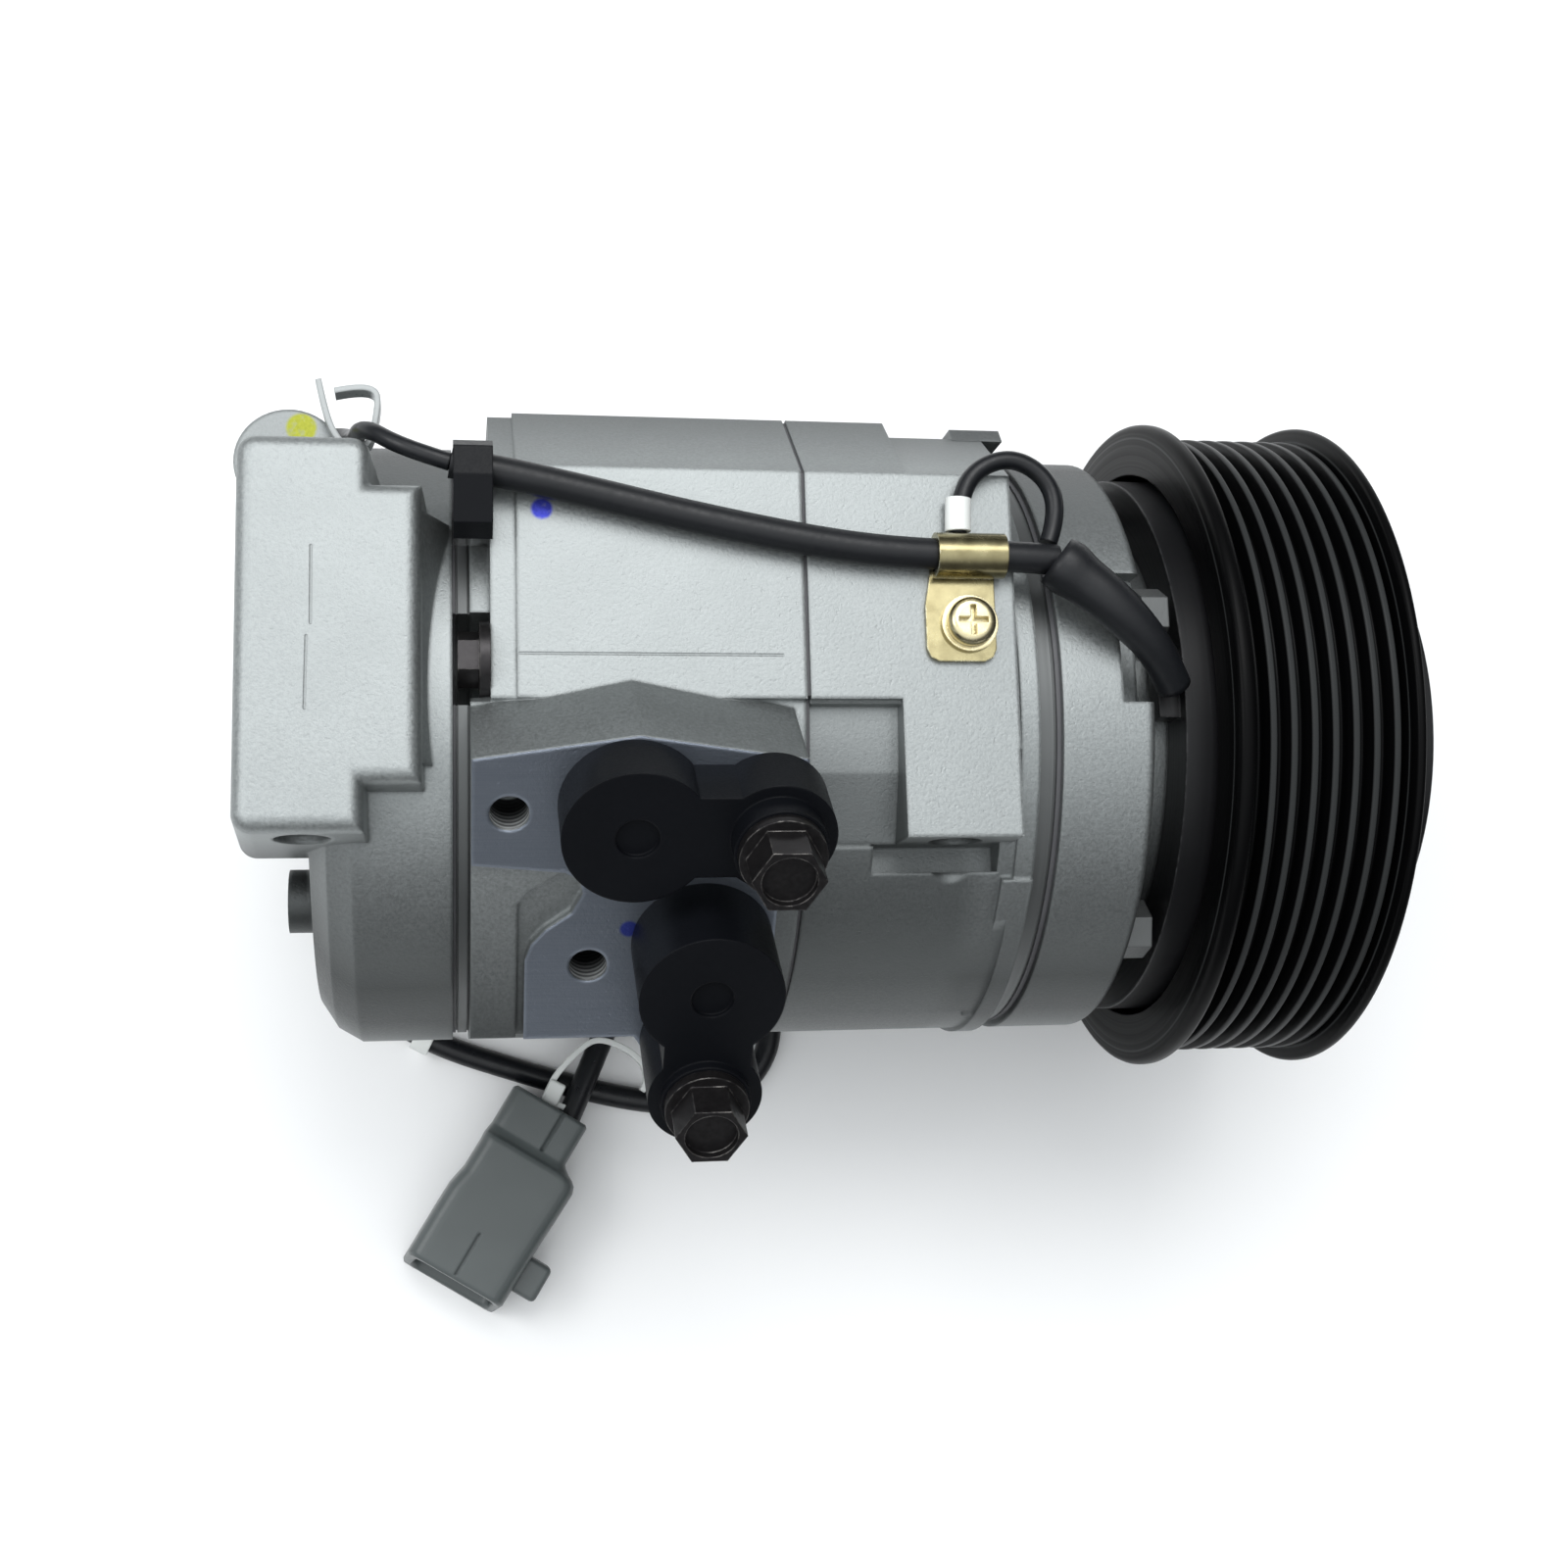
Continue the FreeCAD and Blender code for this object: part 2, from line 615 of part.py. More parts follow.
def muffler_bolts():
    body = new_part("muffler_bolts")
    for across, up in LIP_BOLTS:
        rods(body, "end", [(across, up, "lip_bolt_shank")], "lip_rear", "11")
        rods(body, "end", [(across, up, "6")], "lip_rear - 1.7", "1.7")
        block(body, "end", hexagon(across, up, "4.5"), "lip_rear - 5", "3.3")


def cap_bolts():
    """The two flanged bolts of the caps, each on a collar that stands out of the cap's ear."""
    body = new_part("cap_bolts")
    for side, across, up in (("suction", "suction_bolt_x", "suction_up"),
                             ("discharge", "discharge_x", "discharge_bolt_up")):
        top = f"port_face + {side}_cap_height + {side}_collar"
        rods(body, "port", [(across, up, "thread_radius")], "port_face - 8",
             f"{side}_cap_height + {side}_collar + 8")
        rods(body, "port", [(across, up, "6.6")], top, "1.8")
        block(body, "port", hexagon(across, up, "5.6"), f"{top} + 1.8", "6")
        rods(body, "port", [(across, up, "4.1")], f"{top} + 6.6", "2", cut=True)


# ---- ports ----

def port_cap(side, lobe, ear, port_radius):
    """A shipping cap: a round lobe over the port, joined by a neck to an ear with the bolt."""
    body = new_part(f"{side}_port_cap")
    height = f"{side}_cap_height"
    rods(body, "port", [(*lobe, "cap_lobe")], "port_face", height)
    rods(body, "port", [(*ear, "cap_ear")], "port_face", height)
    if lobe[1] == ear[1]:
        corners = [(lobe[0], f"{lobe[1]} + cap_waist"), (lobe[0], f"{lobe[1]} - cap_waist"),
                   (ear[0], f"{ear[1]} - cap_waist"), (ear[0], f"{ear[1]} + cap_waist")]
    else:
        corners = [(f"{lobe[0]} - cap_waist", lobe[1]), (f"{lobe[0]} + cap_waist", lobe[1]),
                   (f"{ear[0]} + cap_waist", ear[1]), (f"{ear[0]} - cap_waist", ear[1])]
    block(body, "port", corners, "port_face", height)
    rods(body, "port", [(*ear, "7.1")], f"port_face + {height} - 1", f"{side}_collar + 1")
    rods(body, "port", [(*lobe, f"{port_radius} - 0.1")], "port_face - 6", "6.5")
    rods(body, "port", [(*lobe, f"{port_radius} + 3")], "port_face - 5", "2.2", cut=True)
    rods(body, "port", [(*lobe, f"{port_radius} - 2")], "port_face - 5", "2.2")
    rods(body, "port", [(*lobe, "3.3")], f"port_face + {height} - 0.8", "4", cut=True)
    rods(body, "port", [(*ear, "thread_radius + 0.2")], "port_face - 1", f"{height} + 8", cut=True)


def port_seals():
    """O-rings in the necks of the two caps."""
    body = new_part("port_seals")
    for x, up, radius in (("suction_x", "suction_up", "port_bore"),
                          ("discharge_x", "discharge_up", "port_bore_small")):
        rods(body, "port", [(x, up, radius), (x, up, f"{radius} - 2")], "port_face - 5", "2")


def relief_valve():
    body = new_part("relief_valve")
    rods(body, "end", [("0", "0", "7")], "rear_end", "8")
    block(body, "end", hexagon("0", "0", "9.5"), "rear_end - 5", "5")
    rods(body, "end", [("0", "0", "5.5")], "rear_end - 8", "3")
    rods(body, "end", [("0", "0", "1.6")], "rear_end - 9", "8", cut=True)


# ---- field coil ----

def field_coil_shell():
    body = new_part("field_coil_shell")
    turned(body, [
        ("coil_seat", "coil_spigot + 0.1"), ("coil_seat", "coil_outer"), ("coil_front", "coil_outer"),
        ("coil_front", "coil_outer - coil_wall"), ("coil_seat + coil_plate", "coil_outer - coil_wall"),
        ("coil_seat + coil_plate", "coil_inner + coil_wall"), ("coil_front", "coil_inner + coil_wall"),
        ("coil_front", "coil_inner"), ("coil_seat + coil_plate", "coil_inner"),
        ("coil_seat + coil_plate", "coil_spigot + 0.1"),
    ])
    # outlet for the lead, in the housing's cut-back rim
    block(body, "end", [("-3.5", "42.5"), ("-3.5", "46.6"), ("8", "46.6"), ("8", "42.5")],
          "coil_seat - 3.6", "coil_plate + 2.6")


def field_coil_winding():
    body = new_part("field_coil_winding")
    turned(body, ring("coil_seat + coil_plate", "coil_front - 1.5",
                      "coil_inner + coil_wall", "coil_outer - coil_wall"))


def snap_ring(name, rear, front, inner, outer, gap):
    """An open ring, with its gap turned towards -Z."""
    body = new_part(name)
    turned(body, ring(rear, front, inner, outer))
    block(body, "end", [(f"-({gap})", "-60"), (gap, "-60"), (gap, "0"), (f"-({gap})", "0")],
          f"{rear} - 1", "4", cut=True)


# ---- pulley and its bearing ----

def pulley():
    body = new_part("pulley")
    outline = [
        ("rotor_face", "bearing_outer - 1.6"), ("bearing_front", "bearing_outer - 1.6"),
        ("bearing_front", "bearing_outer"), ("bearing_rear", "bearing_outer"),
        ("bearing_rear", "bearing_outer - 1"), ("bearing_rear - 1.6", "bearing_outer - 1"),
        ("bearing_rear - 1.6", "hub_outer"), ("rotor_wall", "hub_outer"), ("rotor_wall", "rim_inner"),
        ("pulley_rear", "rim_inner"), ("pulley_rear", "rib_root"),
        ("pulley_rear + 0.4", "flange_radius - 0.7"),
        ("pulley_rear + 1", "flange_radius"), ("pulley_rear + 1.8", "flange_radius"),
        ("pulley_rear + 2.5", "flange_radius - 0.6"), ("pulley_rear + 4.2", "rib_root"),
    ]
    half = (RIBS - 1) // 2
    for k in range(-half, half + 1):
        outline += [
            (f"({k} - 0.5) * rib_pitch + root_half", "rib_root"),
            (f"{k} * rib_pitch - rib_half", "rib_tip"), (f"{k} * rib_pitch + rib_half", "rib_tip"),
            (f"({k} + 0.5) * rib_pitch - root_half", "rib_root"),
        ]
    outline += [
        ("pulley_front - 1.9", "flange_radius - 0.6"), ("pulley_front - 1.3", "flange_radius"),
        ("pulley_front - 0.6", "flange_radius"), ("pulley_front", "flange_radius - 0.7"),
        ("pulley_front", "armature_radius + 1"), ("rotor_face", "armature_radius + 1"),
    ]
    turned(body, outline)
    slots = [block(body, "end", [
        (f"({radius} - 1.2) * sin({angle})", f"({radius} - 1.2) * cos({angle})"),
        (f"({radius} + 1.2) * sin({angle})", f"({radius} + 1.2) * cos({angle})"),
        (f"({radius} + 1.2) * sin({angle + 36})", f"({radius} + 1.2) * cos({angle + 36})"),
        (f"({radius} - 1.2) * sin({angle + 36})", f"({radius} - 1.2) * cos({angle + 36})"),
    ], "rotor_wall - 1", "8", cut=True) for radius, angle in ((36.5, 10), (45.5, 42))]
    around(body, slots, 6)


def raceway(body, rear_row, front_row):
    """Two ball grooves, one for each row."""
    for station in (rear_row, front_row):
        sketch = sketch_on(body, "top", "0")
        draw_circle(sketch, station, "ball_pitch", "ball_radius + ball_gap")
        groove = body.newObject("PartDesign::Groove", body.Name + "_groove")
        groove.Profile = (sketch, [""])
        groove.ReferenceAxis = (sketch, ["H_Axis"])
        groove.Angle = 360


ROWS = ("(bearing_rear + bearing_front) / 2 - ball_row", "(bearing_rear + bearing_front) / 2 + ball_row")


def pulley_bearing():
    inner = new_part("bearing_inner_ring")
    turned(inner, ring("bearing_rear", "bearing_front", "nose_radius", "inner_shoulder"))
    raceway(inner, *ROWS)
    outer = new_part("bearing_outer_ring")
    turned(outer, ring("bearing_rear", "bearing_front", "outer_shoulder", "bearing_outer"))
    raceway(outer, *ROWS)
    balls = new_part("bearing_balls")
    for number, station in enumerate(ROWS):
        ball = balls.newObject("PartDesign::AdditiveSphere", f"ball_{number}")
        ball.setExpression("Radius", bound("ball_radius"))
        ball.AttachmentSupport = [(origin_of(balls, "XY_Plane"), "")]
        ball.MapMode = "FlatFace"
        ball.setExpression("AttachmentOffset.Base.x", bound(station))
        ball.setExpression("AttachmentOffset.Base.y", bound("ball_pitch"))
        around(balls, [ball], BALLS)
    cage = new_part("bearing_cage")
    turned(cage, ring(f"{ROWS[0]} - 3.6", f"{ROWS[1]} + 3.6", "ball_pitch - 0.7", "ball_pitch + 0.7"))
    holes = rods(cage, "side", [(station, "0", "ball_radius + 0.25") for station in ROWS],
                 "ball_pitch - 3", "6", cut=True)
    around(cage, [holes], BALLS)
    seals = new_part("bearing_seals")
    turned(seals, ring("bearing_rear", "bearing_rear + 0.8", "inner_shoulder + 0.15", "outer_shoulder"))
    turned(seals, ring("bearing_front - 0.8", "bearing_front", "inner_shoulder + 0.15", "outer_shoulder"))


# ---- clutch ----

ARMATURE_REAR = "rotor_face + air_gap"
RIVET_RING = 44.0
DAMPER_RIVET_RING = 35.0
SPRING_TURN = 34


def armature_plate():
    body = new_part("armature_plate")
    turned(body, ring(ARMATURE_REAR, f"{ARMATURE_REAR} + armature_thickness", "armature_inner",
                      "armature_radius"))
    slot = block(body, "end", [
        ("38 * sin(8)", "38 * cos(8)"), ("40.4 * sin(8)", "40.4 * cos(8)"),
        ("40.4 * sin(52)", "40.4 * cos(52)"), ("38 * sin(52)", "38 * cos(52)"),
    ], f"{ARMATURE_REAR} - 1", "8", cut=True)
    around(body, [slot], 6)


def armature_rivets():
    body = new_part("armature_rivets")
    centre = polar(str(RIVET_RING), "0")
    shank = rods(body, "end", [(*centre, "2")], f"{ARMATURE_REAR} + armature_thickness",
                 "spring_rear + spring_thickness + 0.7 - rotor_face - air_gap - armature_thickness")
    head = rods(body, "end", [(*centre, "3.6")], "spring_rear + spring_thickness + 0.7", "1.6")
    around(body, [shank, head], 3)


def leaf_springs():
    """Three flat springs, each from a rivet on the armature to a rivet on the damper plate."""
    body = new_part("leaf_springs")
    near = (f"{RIVET_RING} * sin(0)", f"{RIVET_RING} * cos(0)")
    far = polar(str(DAMPER_RIVET_RING), str(SPRING_TURN))
    strip = block(body, "end", [
        (f"{near[0]} - 1", f"{near[1]} + 4.4"), (f"{near[0]} - 1", f"{near[1]} - 4.4"),
        (f"{far[0]} - 2", f"{far[1]} - 4.4"), (f"{far[0]} + 2", f"{far[1]} + 4.4"),
    ], "spring_rear", "spring_thickness")
    eyes = rods(body, "end", [(*near, "4.5")], "spring_rear", "spring_thickness")
    root = rods(body, "end", [(*far, "4.5")], "spring_rear", "spring_thickness")
    hole = rods(body, "end", [(*near, "2.5")], "spring_rear - 1", "3", cut=True)
    around(body, [strip, eyes, root, hole], 3)


def damper_plate():
    body = new_part("damper_plate")
    rear = "spring_rear + spring_thickness + 0.1"
    turned(body, [
        (rear, "damper_inner"), (rear, "damper_outer - 1.5"),
        ("damper_front - 3", "damper_outer"), ("damper_front", "damper_outer"),
        ("damper_front", "damper_outer - 2"), ("damper_front - 4.5", "damper_outer - 3"),
        ("damper_front - 4.5", "damper_inner"),
    ])


def damper_ring():
    body = new_part("damper_ring")
    turned(body, ring("spring_rear + spring_thickness + 0.6", "damper_front - 1.5", "hub_flange",
                      "damper_inner"))


def clutch_hub():
    body = new_part("clutch_hub")
    turned(body, [
        ("spline_start + 1", "spline_radius"), ("spline_start + 1", "hub_boss"),
        ("damper_front - 7", "hub_boss"),
        ("damper_front - 7", "hub_flange"), ("damper_front - 1", "hub_flange"), ("damper_front - 1", "14"),
        ("shaft_front", "14"), ("shaft_front", "spline_radius"),
    ])


def hub_bolt():
    body = new_part("hub_bolt")
    rods(body, "end", [("0", "0", "bolt_radius")], "shaft_front - 14", "14")
    rods(body, "end", [("0", "0", "8")], "shaft_front", "1.6")
    block(body, "end", hexagon("0", "0", "5.8"), "shaft_front + 1.6", "5")


def hub_shim():
    body = new_part("hub_shim")
    turned(body, ring("spline_start", "spline_start + 1", "spline_radius", "hub_boss - 1"))


# ---- shaft, swash plate and pistons ----

def shaft():
    body = new_part("shaft")
    turned(body, [
        ("shaft_rear", "0"), ("shaft_rear", "shaft_radius - 0.8"), ("shaft_rear + 0.8", "shaft_radius"),
        ("spline_start", "shaft_radius"), ("spline_start", "spline_radius"),
        ("shaft_front", "spline_radius"), ("shaft_front", "0"),
    ])
    rods(body, "end", [("0", "0", "bolt_radius")], "shaft_front - 14", "15", cut=True)


def tilted(solid, shift):
    """Turn a construction cylinder's axis to the swash plate's normal, starting this far from its centre."""
    solid.Placement = Placement(Vector(1, 1, 1), Rotation(Vector(0, 1, 0), 72))
    solid.setExpression("Placement.Rotation.Angle", bound("90 - swash_tilt"))
    solid.setExpression("Placement.Base.x", bound(f"swash_x + ({shift}) * cos(swash_tilt)"))
    solid.setExpression("Placement.Base.y", bound("0"))
    solid.setExpression("Placement.Base.z", bound(f"({shift}) * sin(swash_tilt)"))
    return solid


def along_shaft(solid, start):
    """Lay a construction cylinder along the shaft."""
    solid.Placement = Placement(Vector(1, 0, 0), Rotation(Vector(0, 1, 0), 90))
    solid.setExpression("Placement.Base.x", bound(start))
    return solid


def swash_plate():
    disc = tilted(helper("swash_disc", "Part::Cylinder", Radius="swash_radius", Height="swash_thickness"),
                  "-swash_thickness / 2")
    hub = along_shaft(helper("swash_hub", "Part::Cylinder", Radius="swash_hub_radius",
                             Height="2 * swash_hub_half"),
                      "swash_x - swash_hub_half")
    bore = along_shaft(helper("swash_bore", "Part::Cylinder", Radius="shaft_radius", Height="100"),
                       "swash_x - 50")
    fused = doc.addObject("Part::Fuse", "swash_solid")
    fused.Base = disc
    fused.Tool = hub
    plate = new_part("swash_plate", "Part::Cut")
    plate.Base = fused
    plate.Tool = bore


def piston_shoes():
    """Ten shoes: five spheres on the pitch circle, parted by the swash plate."""
    spheres = []
    for k in range(CYLINDERS):
        ball = helper(f"shoe_{k + 1}", "Part::Sphere", Radius="shoe_radius")
        across, up = polar("bore_pitch", f"bore_angle + {k * SWEEP}")
        ball.setExpression("Placement.Base.x", bound(f"swash_x - {up} * tan(swash_tilt)"))
        ball.setExpression("Placement.Base.y", bound(across))
        ball.setExpression("Placement.Base.z", bound(up))
        spheres.append(ball)
    group = doc.addObject("Part::Compound", "shoe_spheres")
    group.Links = spheres
    slab = tilted(helper("shoe_slab", "Part::Cylinder", Radius="60", Height="swash_thickness + 0.04"),
                  "-swash_thickness / 2 - 0.02")
    shoes = new_part("piston_shoes", "Part::Cut")
    shoes.Base = group
    shoes.Tool = slab


def pistons():
    """Five double-headed pistons, at mid stroke, with a gap that clears the whole sweep of the plate."""
    for number in range(CYLINDERS):
        body = new_part(f"piston_{number + 1}")
        start = "swash_x - piston_length / 2"
        rods(body, "end", [("0", "bore_pitch", "piston_radius")], start, "piston_length")
        block(body, "end", [("-20", "0"), ("-20", "bridge_floor"), ("20", "bridge_floor"), ("20", "0")],
              "swash_x - piston_pocket / 2", "piston_pocket", cut=True)
        for edge in ("swash_x - piston_length / 2 + 2.5", "swash_x + piston_length / 2 - 4"):
            rods(body, "end", [("0", "bore_pitch", "piston_radius + 2"),
                               ("0", "bore_pitch", "piston_radius - 1")],
                 edge, "1.5", cut=True)
        turn = SIZES["bore_angle"] + number * SWEEP
        body.Placement = Placement(Vector(0, 0, 0), Rotation(Vector(-1, 0, 0), turn))


def thrust_bearing(name, station):
    """A caged ring of radial needles between the swash hub and the block."""
    body = new_part(name)
    turned(body, ring(f"{station} - 0.5", f"{station} + 0.5", "shaft_radius + 1.2", "thrust_outer - 0.4"))
    needle = rods(body, "top", [(station, "0", "1.3")], "shaft_radius + 2.2",
                  "thrust_outer - shaft_radius - 3.2")
    around(body, [needle], NEEDLES)


def radial_bearing(name, rear):
    """A caged ring of needles on the shaft."""
    body = new_part(name)
    turned(body, ring(rear, f"({rear}) + needle_length - 0.5", "needle_cage - 0.5", "needle_cage + 0.5"))
    needle = rods(body, "end", [("0", "needle_cage", "needle_radius")], f"({rear}) + 1",
                  "needle_length - 2.5")
    around(body, [needle], NEEDLES)


def shaft_seal():
    body = new_part("shaft_seal")
    turned(body, [
        ("-12.5", "shaft_radius + 2.5"), ("-12.5", "seal_bore"), ("-1.5", "seal_bore"),
        ("-1.5", "shaft_radius + 3"),
        ("-6", "shaft_radius + 3"), ("-6", "shaft_radius + 0.06"), ("-7.2", "shaft_radius + 0.06"),
        ("-9", "shaft_radius + 2.5"),
    ])


# ---- wiring: each lead is straight runs joined by tangent arcs ----

def lead_wire(name, points):
    """The centre line: each arc is 0.45 of the shorter run, over the tangent of half the turn."""
    points = [Vector(*point) for point in points]
    edges = []
    radii = []
    start = points[0]
    for before, corner, after in zip(points, points[1:], points[2:]):
        back = (before - corner).normalize()
        ahead = (after - corner).normalize()
        turn = math.pi - back.getAngle(ahead)
        shorter = min((before - corner).Length, (after - corner).Length)
        radius = 0.45 * shorter / math.tan(turn / 2)
        trim = 0.45 * shorter
        middle = (back + ahead).normalize()
        bow = corner + middle * (radius / math.cos(turn / 2) - radius)
        first = corner + back * trim
        last = corner + ahead * trim
        edges.append(Part.LineSegment(start, first).toShape())
        edges.append(Part.Arc(first, bow, last).toShape())
        radii.append(radius)
        start = last
    edges.append(Part.LineSegment(start, points[-1]).toShape())
    wire = Part.Wire(edges)
    print(f"{name}: length {wire.Length:.1f}, radii {', '.join(f'{radius:.0f}' for radius in radii)}")
    return wire


def lead(name, points, radius_name):
    """A round lead along a route of hand-chosen points."""
    radius = sheet.get(radius_name)
    wire = lead_wire(name, points)
    first = wire.OrderedEdges[0]
    profile = Part.Wire(Part.Circle(Vector(*points[0]), first.tangentAt(first.FirstParameter),
                                    radius).toShape())
    solid = wire.makePipeShell([profile], True, False)
    expected = math.pi * radius ** 2 * wire.Length
    if abs(solid.Volume / expected - 1) > 0.02:
        raise RuntimeError(f"{name}: volume {solid.Volume:.0f}, expected {expected:.0f}")
    part = new_part(name, "Part::Feature")
    part.Shape = solid
    part.Placement = Placement()


SLEEVE_ROUTE = [
    (-141.4, 33.8, 57.4), (-131, 32.0, 57.0), (-119, 29.6, 56.3), (-105, 26.4, 56.2), (-87, 22.9, 56.2),
    (-74, 21.2, 56.2), (-60, 20.7, 56.2), (-51, 20.6, 56.3), (-45.5, 20.3, 56.0),
]
LEAD_ROUTE = [
    (-141.4, 33.8, 57.4), (-145.8, 35.2, 57.2), (-150.2, 37.2, 56.2), (-153.4, 39.7, 54),
    (-155.4, 41, 50), (-156, 41.8, 44.6), (-156.4, 43.4, 38.8), (-157.2, 45.2, 33.6),
    (-159.2, 46.9, 29.6), (-162.4, 47.2, 27.6), (-166.4, 45.2, 27.4), (-169.8, 41.8, 27.6), (-172.4, 37, 28),
    (-173.3, 31, 28), (-173.1, 25.4, 26.2), (-172.6, 20.8, 22.5),
]
TUBE_ROUTE = [
    (-172.6, 20.8, 22.5), (-172.2, 18, 9), (-171.6, 15, -6), (-171.2, 10, -21), (-170.2, 2, -35.5),
    (-167.4, -8, -48.5), (-164, -19, -58.5), (-160.8, -32.5, -63.6), (-155, -44.6, -63.6),
    (-143.5, -51.4, -63.6), (-129.5, -56.2, -63.6), (-115, -60.8, -63.6), (-100, -64.2, -63.6),
    (-84.3, -64.6, -63.6), (-74.5, -53.9, -63.6), (-75.8, -39.5, -63.6), (-87.3, -30.8, -63.4),
    (-101.6, -33.4, -62.8), (-108.4, -45.2, -60.4), (-113.6, -57.0, -57.9), (-118.2, -67.2, -57.2),
]
EARTH_ROUTE = [
    (-46.6, 23.2, 55.6), (-44.8, 28, 55.8), (-46.3, 34, 56), (-52.2, 37.4, 56.2), (-58.6, 35, 56),
    (-61.2, 29.4, 55.6), (-61.4, 24.6, 55.3),
]
BOOT_ROUTE = [
    (-45.5, 20.3, 56.0), (-39.3, 15.4, 56.8), (-33.2, 10.2, 56), (-28, 5.4, 53.6), (-24.6, 1.2, 49.6),
]


def harness_clip():
    """Black clip that holds the sleeve above the upper lip bolt."""
    body = new_part("harness_clip")
    outline = [("22.6", "54.4"), ("36.6", "54.4"), ("37.4", "57.3"), ("35.6", "60.4"), ("31", "60.9"),
               ("24", "58.6")]
    block(body, "end", outline, "-141", "6")
    rods(body, "end", [("33.4", "57.3", "sleeve_radius + 0.55")], "-142", "8", cut=True)


def harness_clamp():
    """Strap over the sleeve, with a tab under the earth screw."""
    body = new_part("harness_clamp")
    start = "clamp_x - clamp_width / 2"
    rods(body, "end", [("clamp_y", "56.2", "sleeve_radius + clamp_metal + 0.1")], start, "clamp_width")
    block(body, "top", [
        ("clamp_x - 5.6", "clamp_y"), ("clamp_x - 7", "screw_y + 3"), ("clamp_x - 7", "screw_y - 4"),
        ("clamp_x - 6.4", "screw_y - 5.4"), ("clamp_x - 5", "screw_y - 6.1"),
        ("clamp_x + 2.4", "screw_y - 6.1"), ("clamp_x + 3.8", "screw_y - 5.4"),
        ("clamp_x + 4.4", "screw_y - 4"), ("clamp_x + 4.4", "clamp_y"),
    ], "face_height", "clamp_metal")
    rods(body, "end", [("clamp_y", "56.2", "sleeve_radius + 0.05")], f"{start} - 1", "clamp_width + 2",
         cut=True)
    block(body, "end", [("0", "40"), ("40", "40"), ("40", "face_height"), ("0", "face_height")],
          f"{start} - 1", "clamp_width + 2", cut=True)
    rods(body, "top", [("clamp_x", "screw_y", "2.3")], "face_height - 1", "5", cut=True)


def clamp_screw():
    body = new_part("clamp_screw")
    top = "face_height + clamp_metal"
    rods(body, "top", [("clamp_x", "screw_y", "2.2")], f"{top} - 9", "9")
    rods(body, "top", [("clamp_x", "screw_y", "4.6")], top, "0.8")
    rods(body, "top", [("clamp_x", "screw_y", "3.9")], f"{top} + 0.8", "2.4")
    rounded(body, "1.3", lambda edge: edge.BoundBox.ZMin > SIZES["face_height"] + SIZES["clamp_metal"] + 3.1)
    for across, up in ((2.4, 0.45), (0.45, 2.4)):
        block(body, "top", [
            (f"clamp_x - {across}", f"screw_y - {up}"), (f"clamp_x + {across}", f"screw_y - {up}"),
            (f"clamp_x + {across}", f"screw_y + {up}"), (f"clamp_x - {across}", f"screw_y + {up}"),
        ], f"{top} + 1.7", "4", cut=True)


def connector():
    """Two-pin connector: narrow rear body, wide shroud with an open mouth, side latch and two blades."""
    place = Placement(
        Vector(SIZES["connector_x"], SIZES["connector_y"], SIZES["connector_z"]),
        Rotation(Vector(0, 0, 1), SIZES["connector_turn"]),
    )
    housing = new_part("connector_housing")
    block(housing, "end", [("-8.4", "-6.6"), ("8.4", "-6.6"), ("8.4", "6.6"), ("-8.4", "6.6")], "0", "12")
    block(housing, "end", [("-8.6", "-8.4"), ("13.2", "-8.4"), ("13.2", "8.2"), ("-8.6", "8.2")], "10.5",
          "29.5")
    rounded(housing, "2.2", lambda edge: edge.BoundBox.XLength > 9)
    block(housing, "end", [("12", "-3.5"), ("17.8", "-3.5"), ("17.8", "3.5"), ("12", "3.5")], "27.5", "7.5")
    block(housing, "end", [("-6.8", "-6.4"), ("11.4", "-6.4"), ("11.4", "6.4"), ("-6.8", "6.4")], "14",
          "27", cut=True)
    pins = new_part("connector_pins")
    for side in (-1.7, 6.3):
        block(pins, "end", [(f"{side} - 1.2", "-0.4"), (f"{side} + 1.2", "-0.4"), (f"{side} + 1.2", "0.4"),
                            (f"{side} - 1.2", "0.4")], "14", "12")
    housing.Placement = place
    pins.Placement = place


# ---- build ----

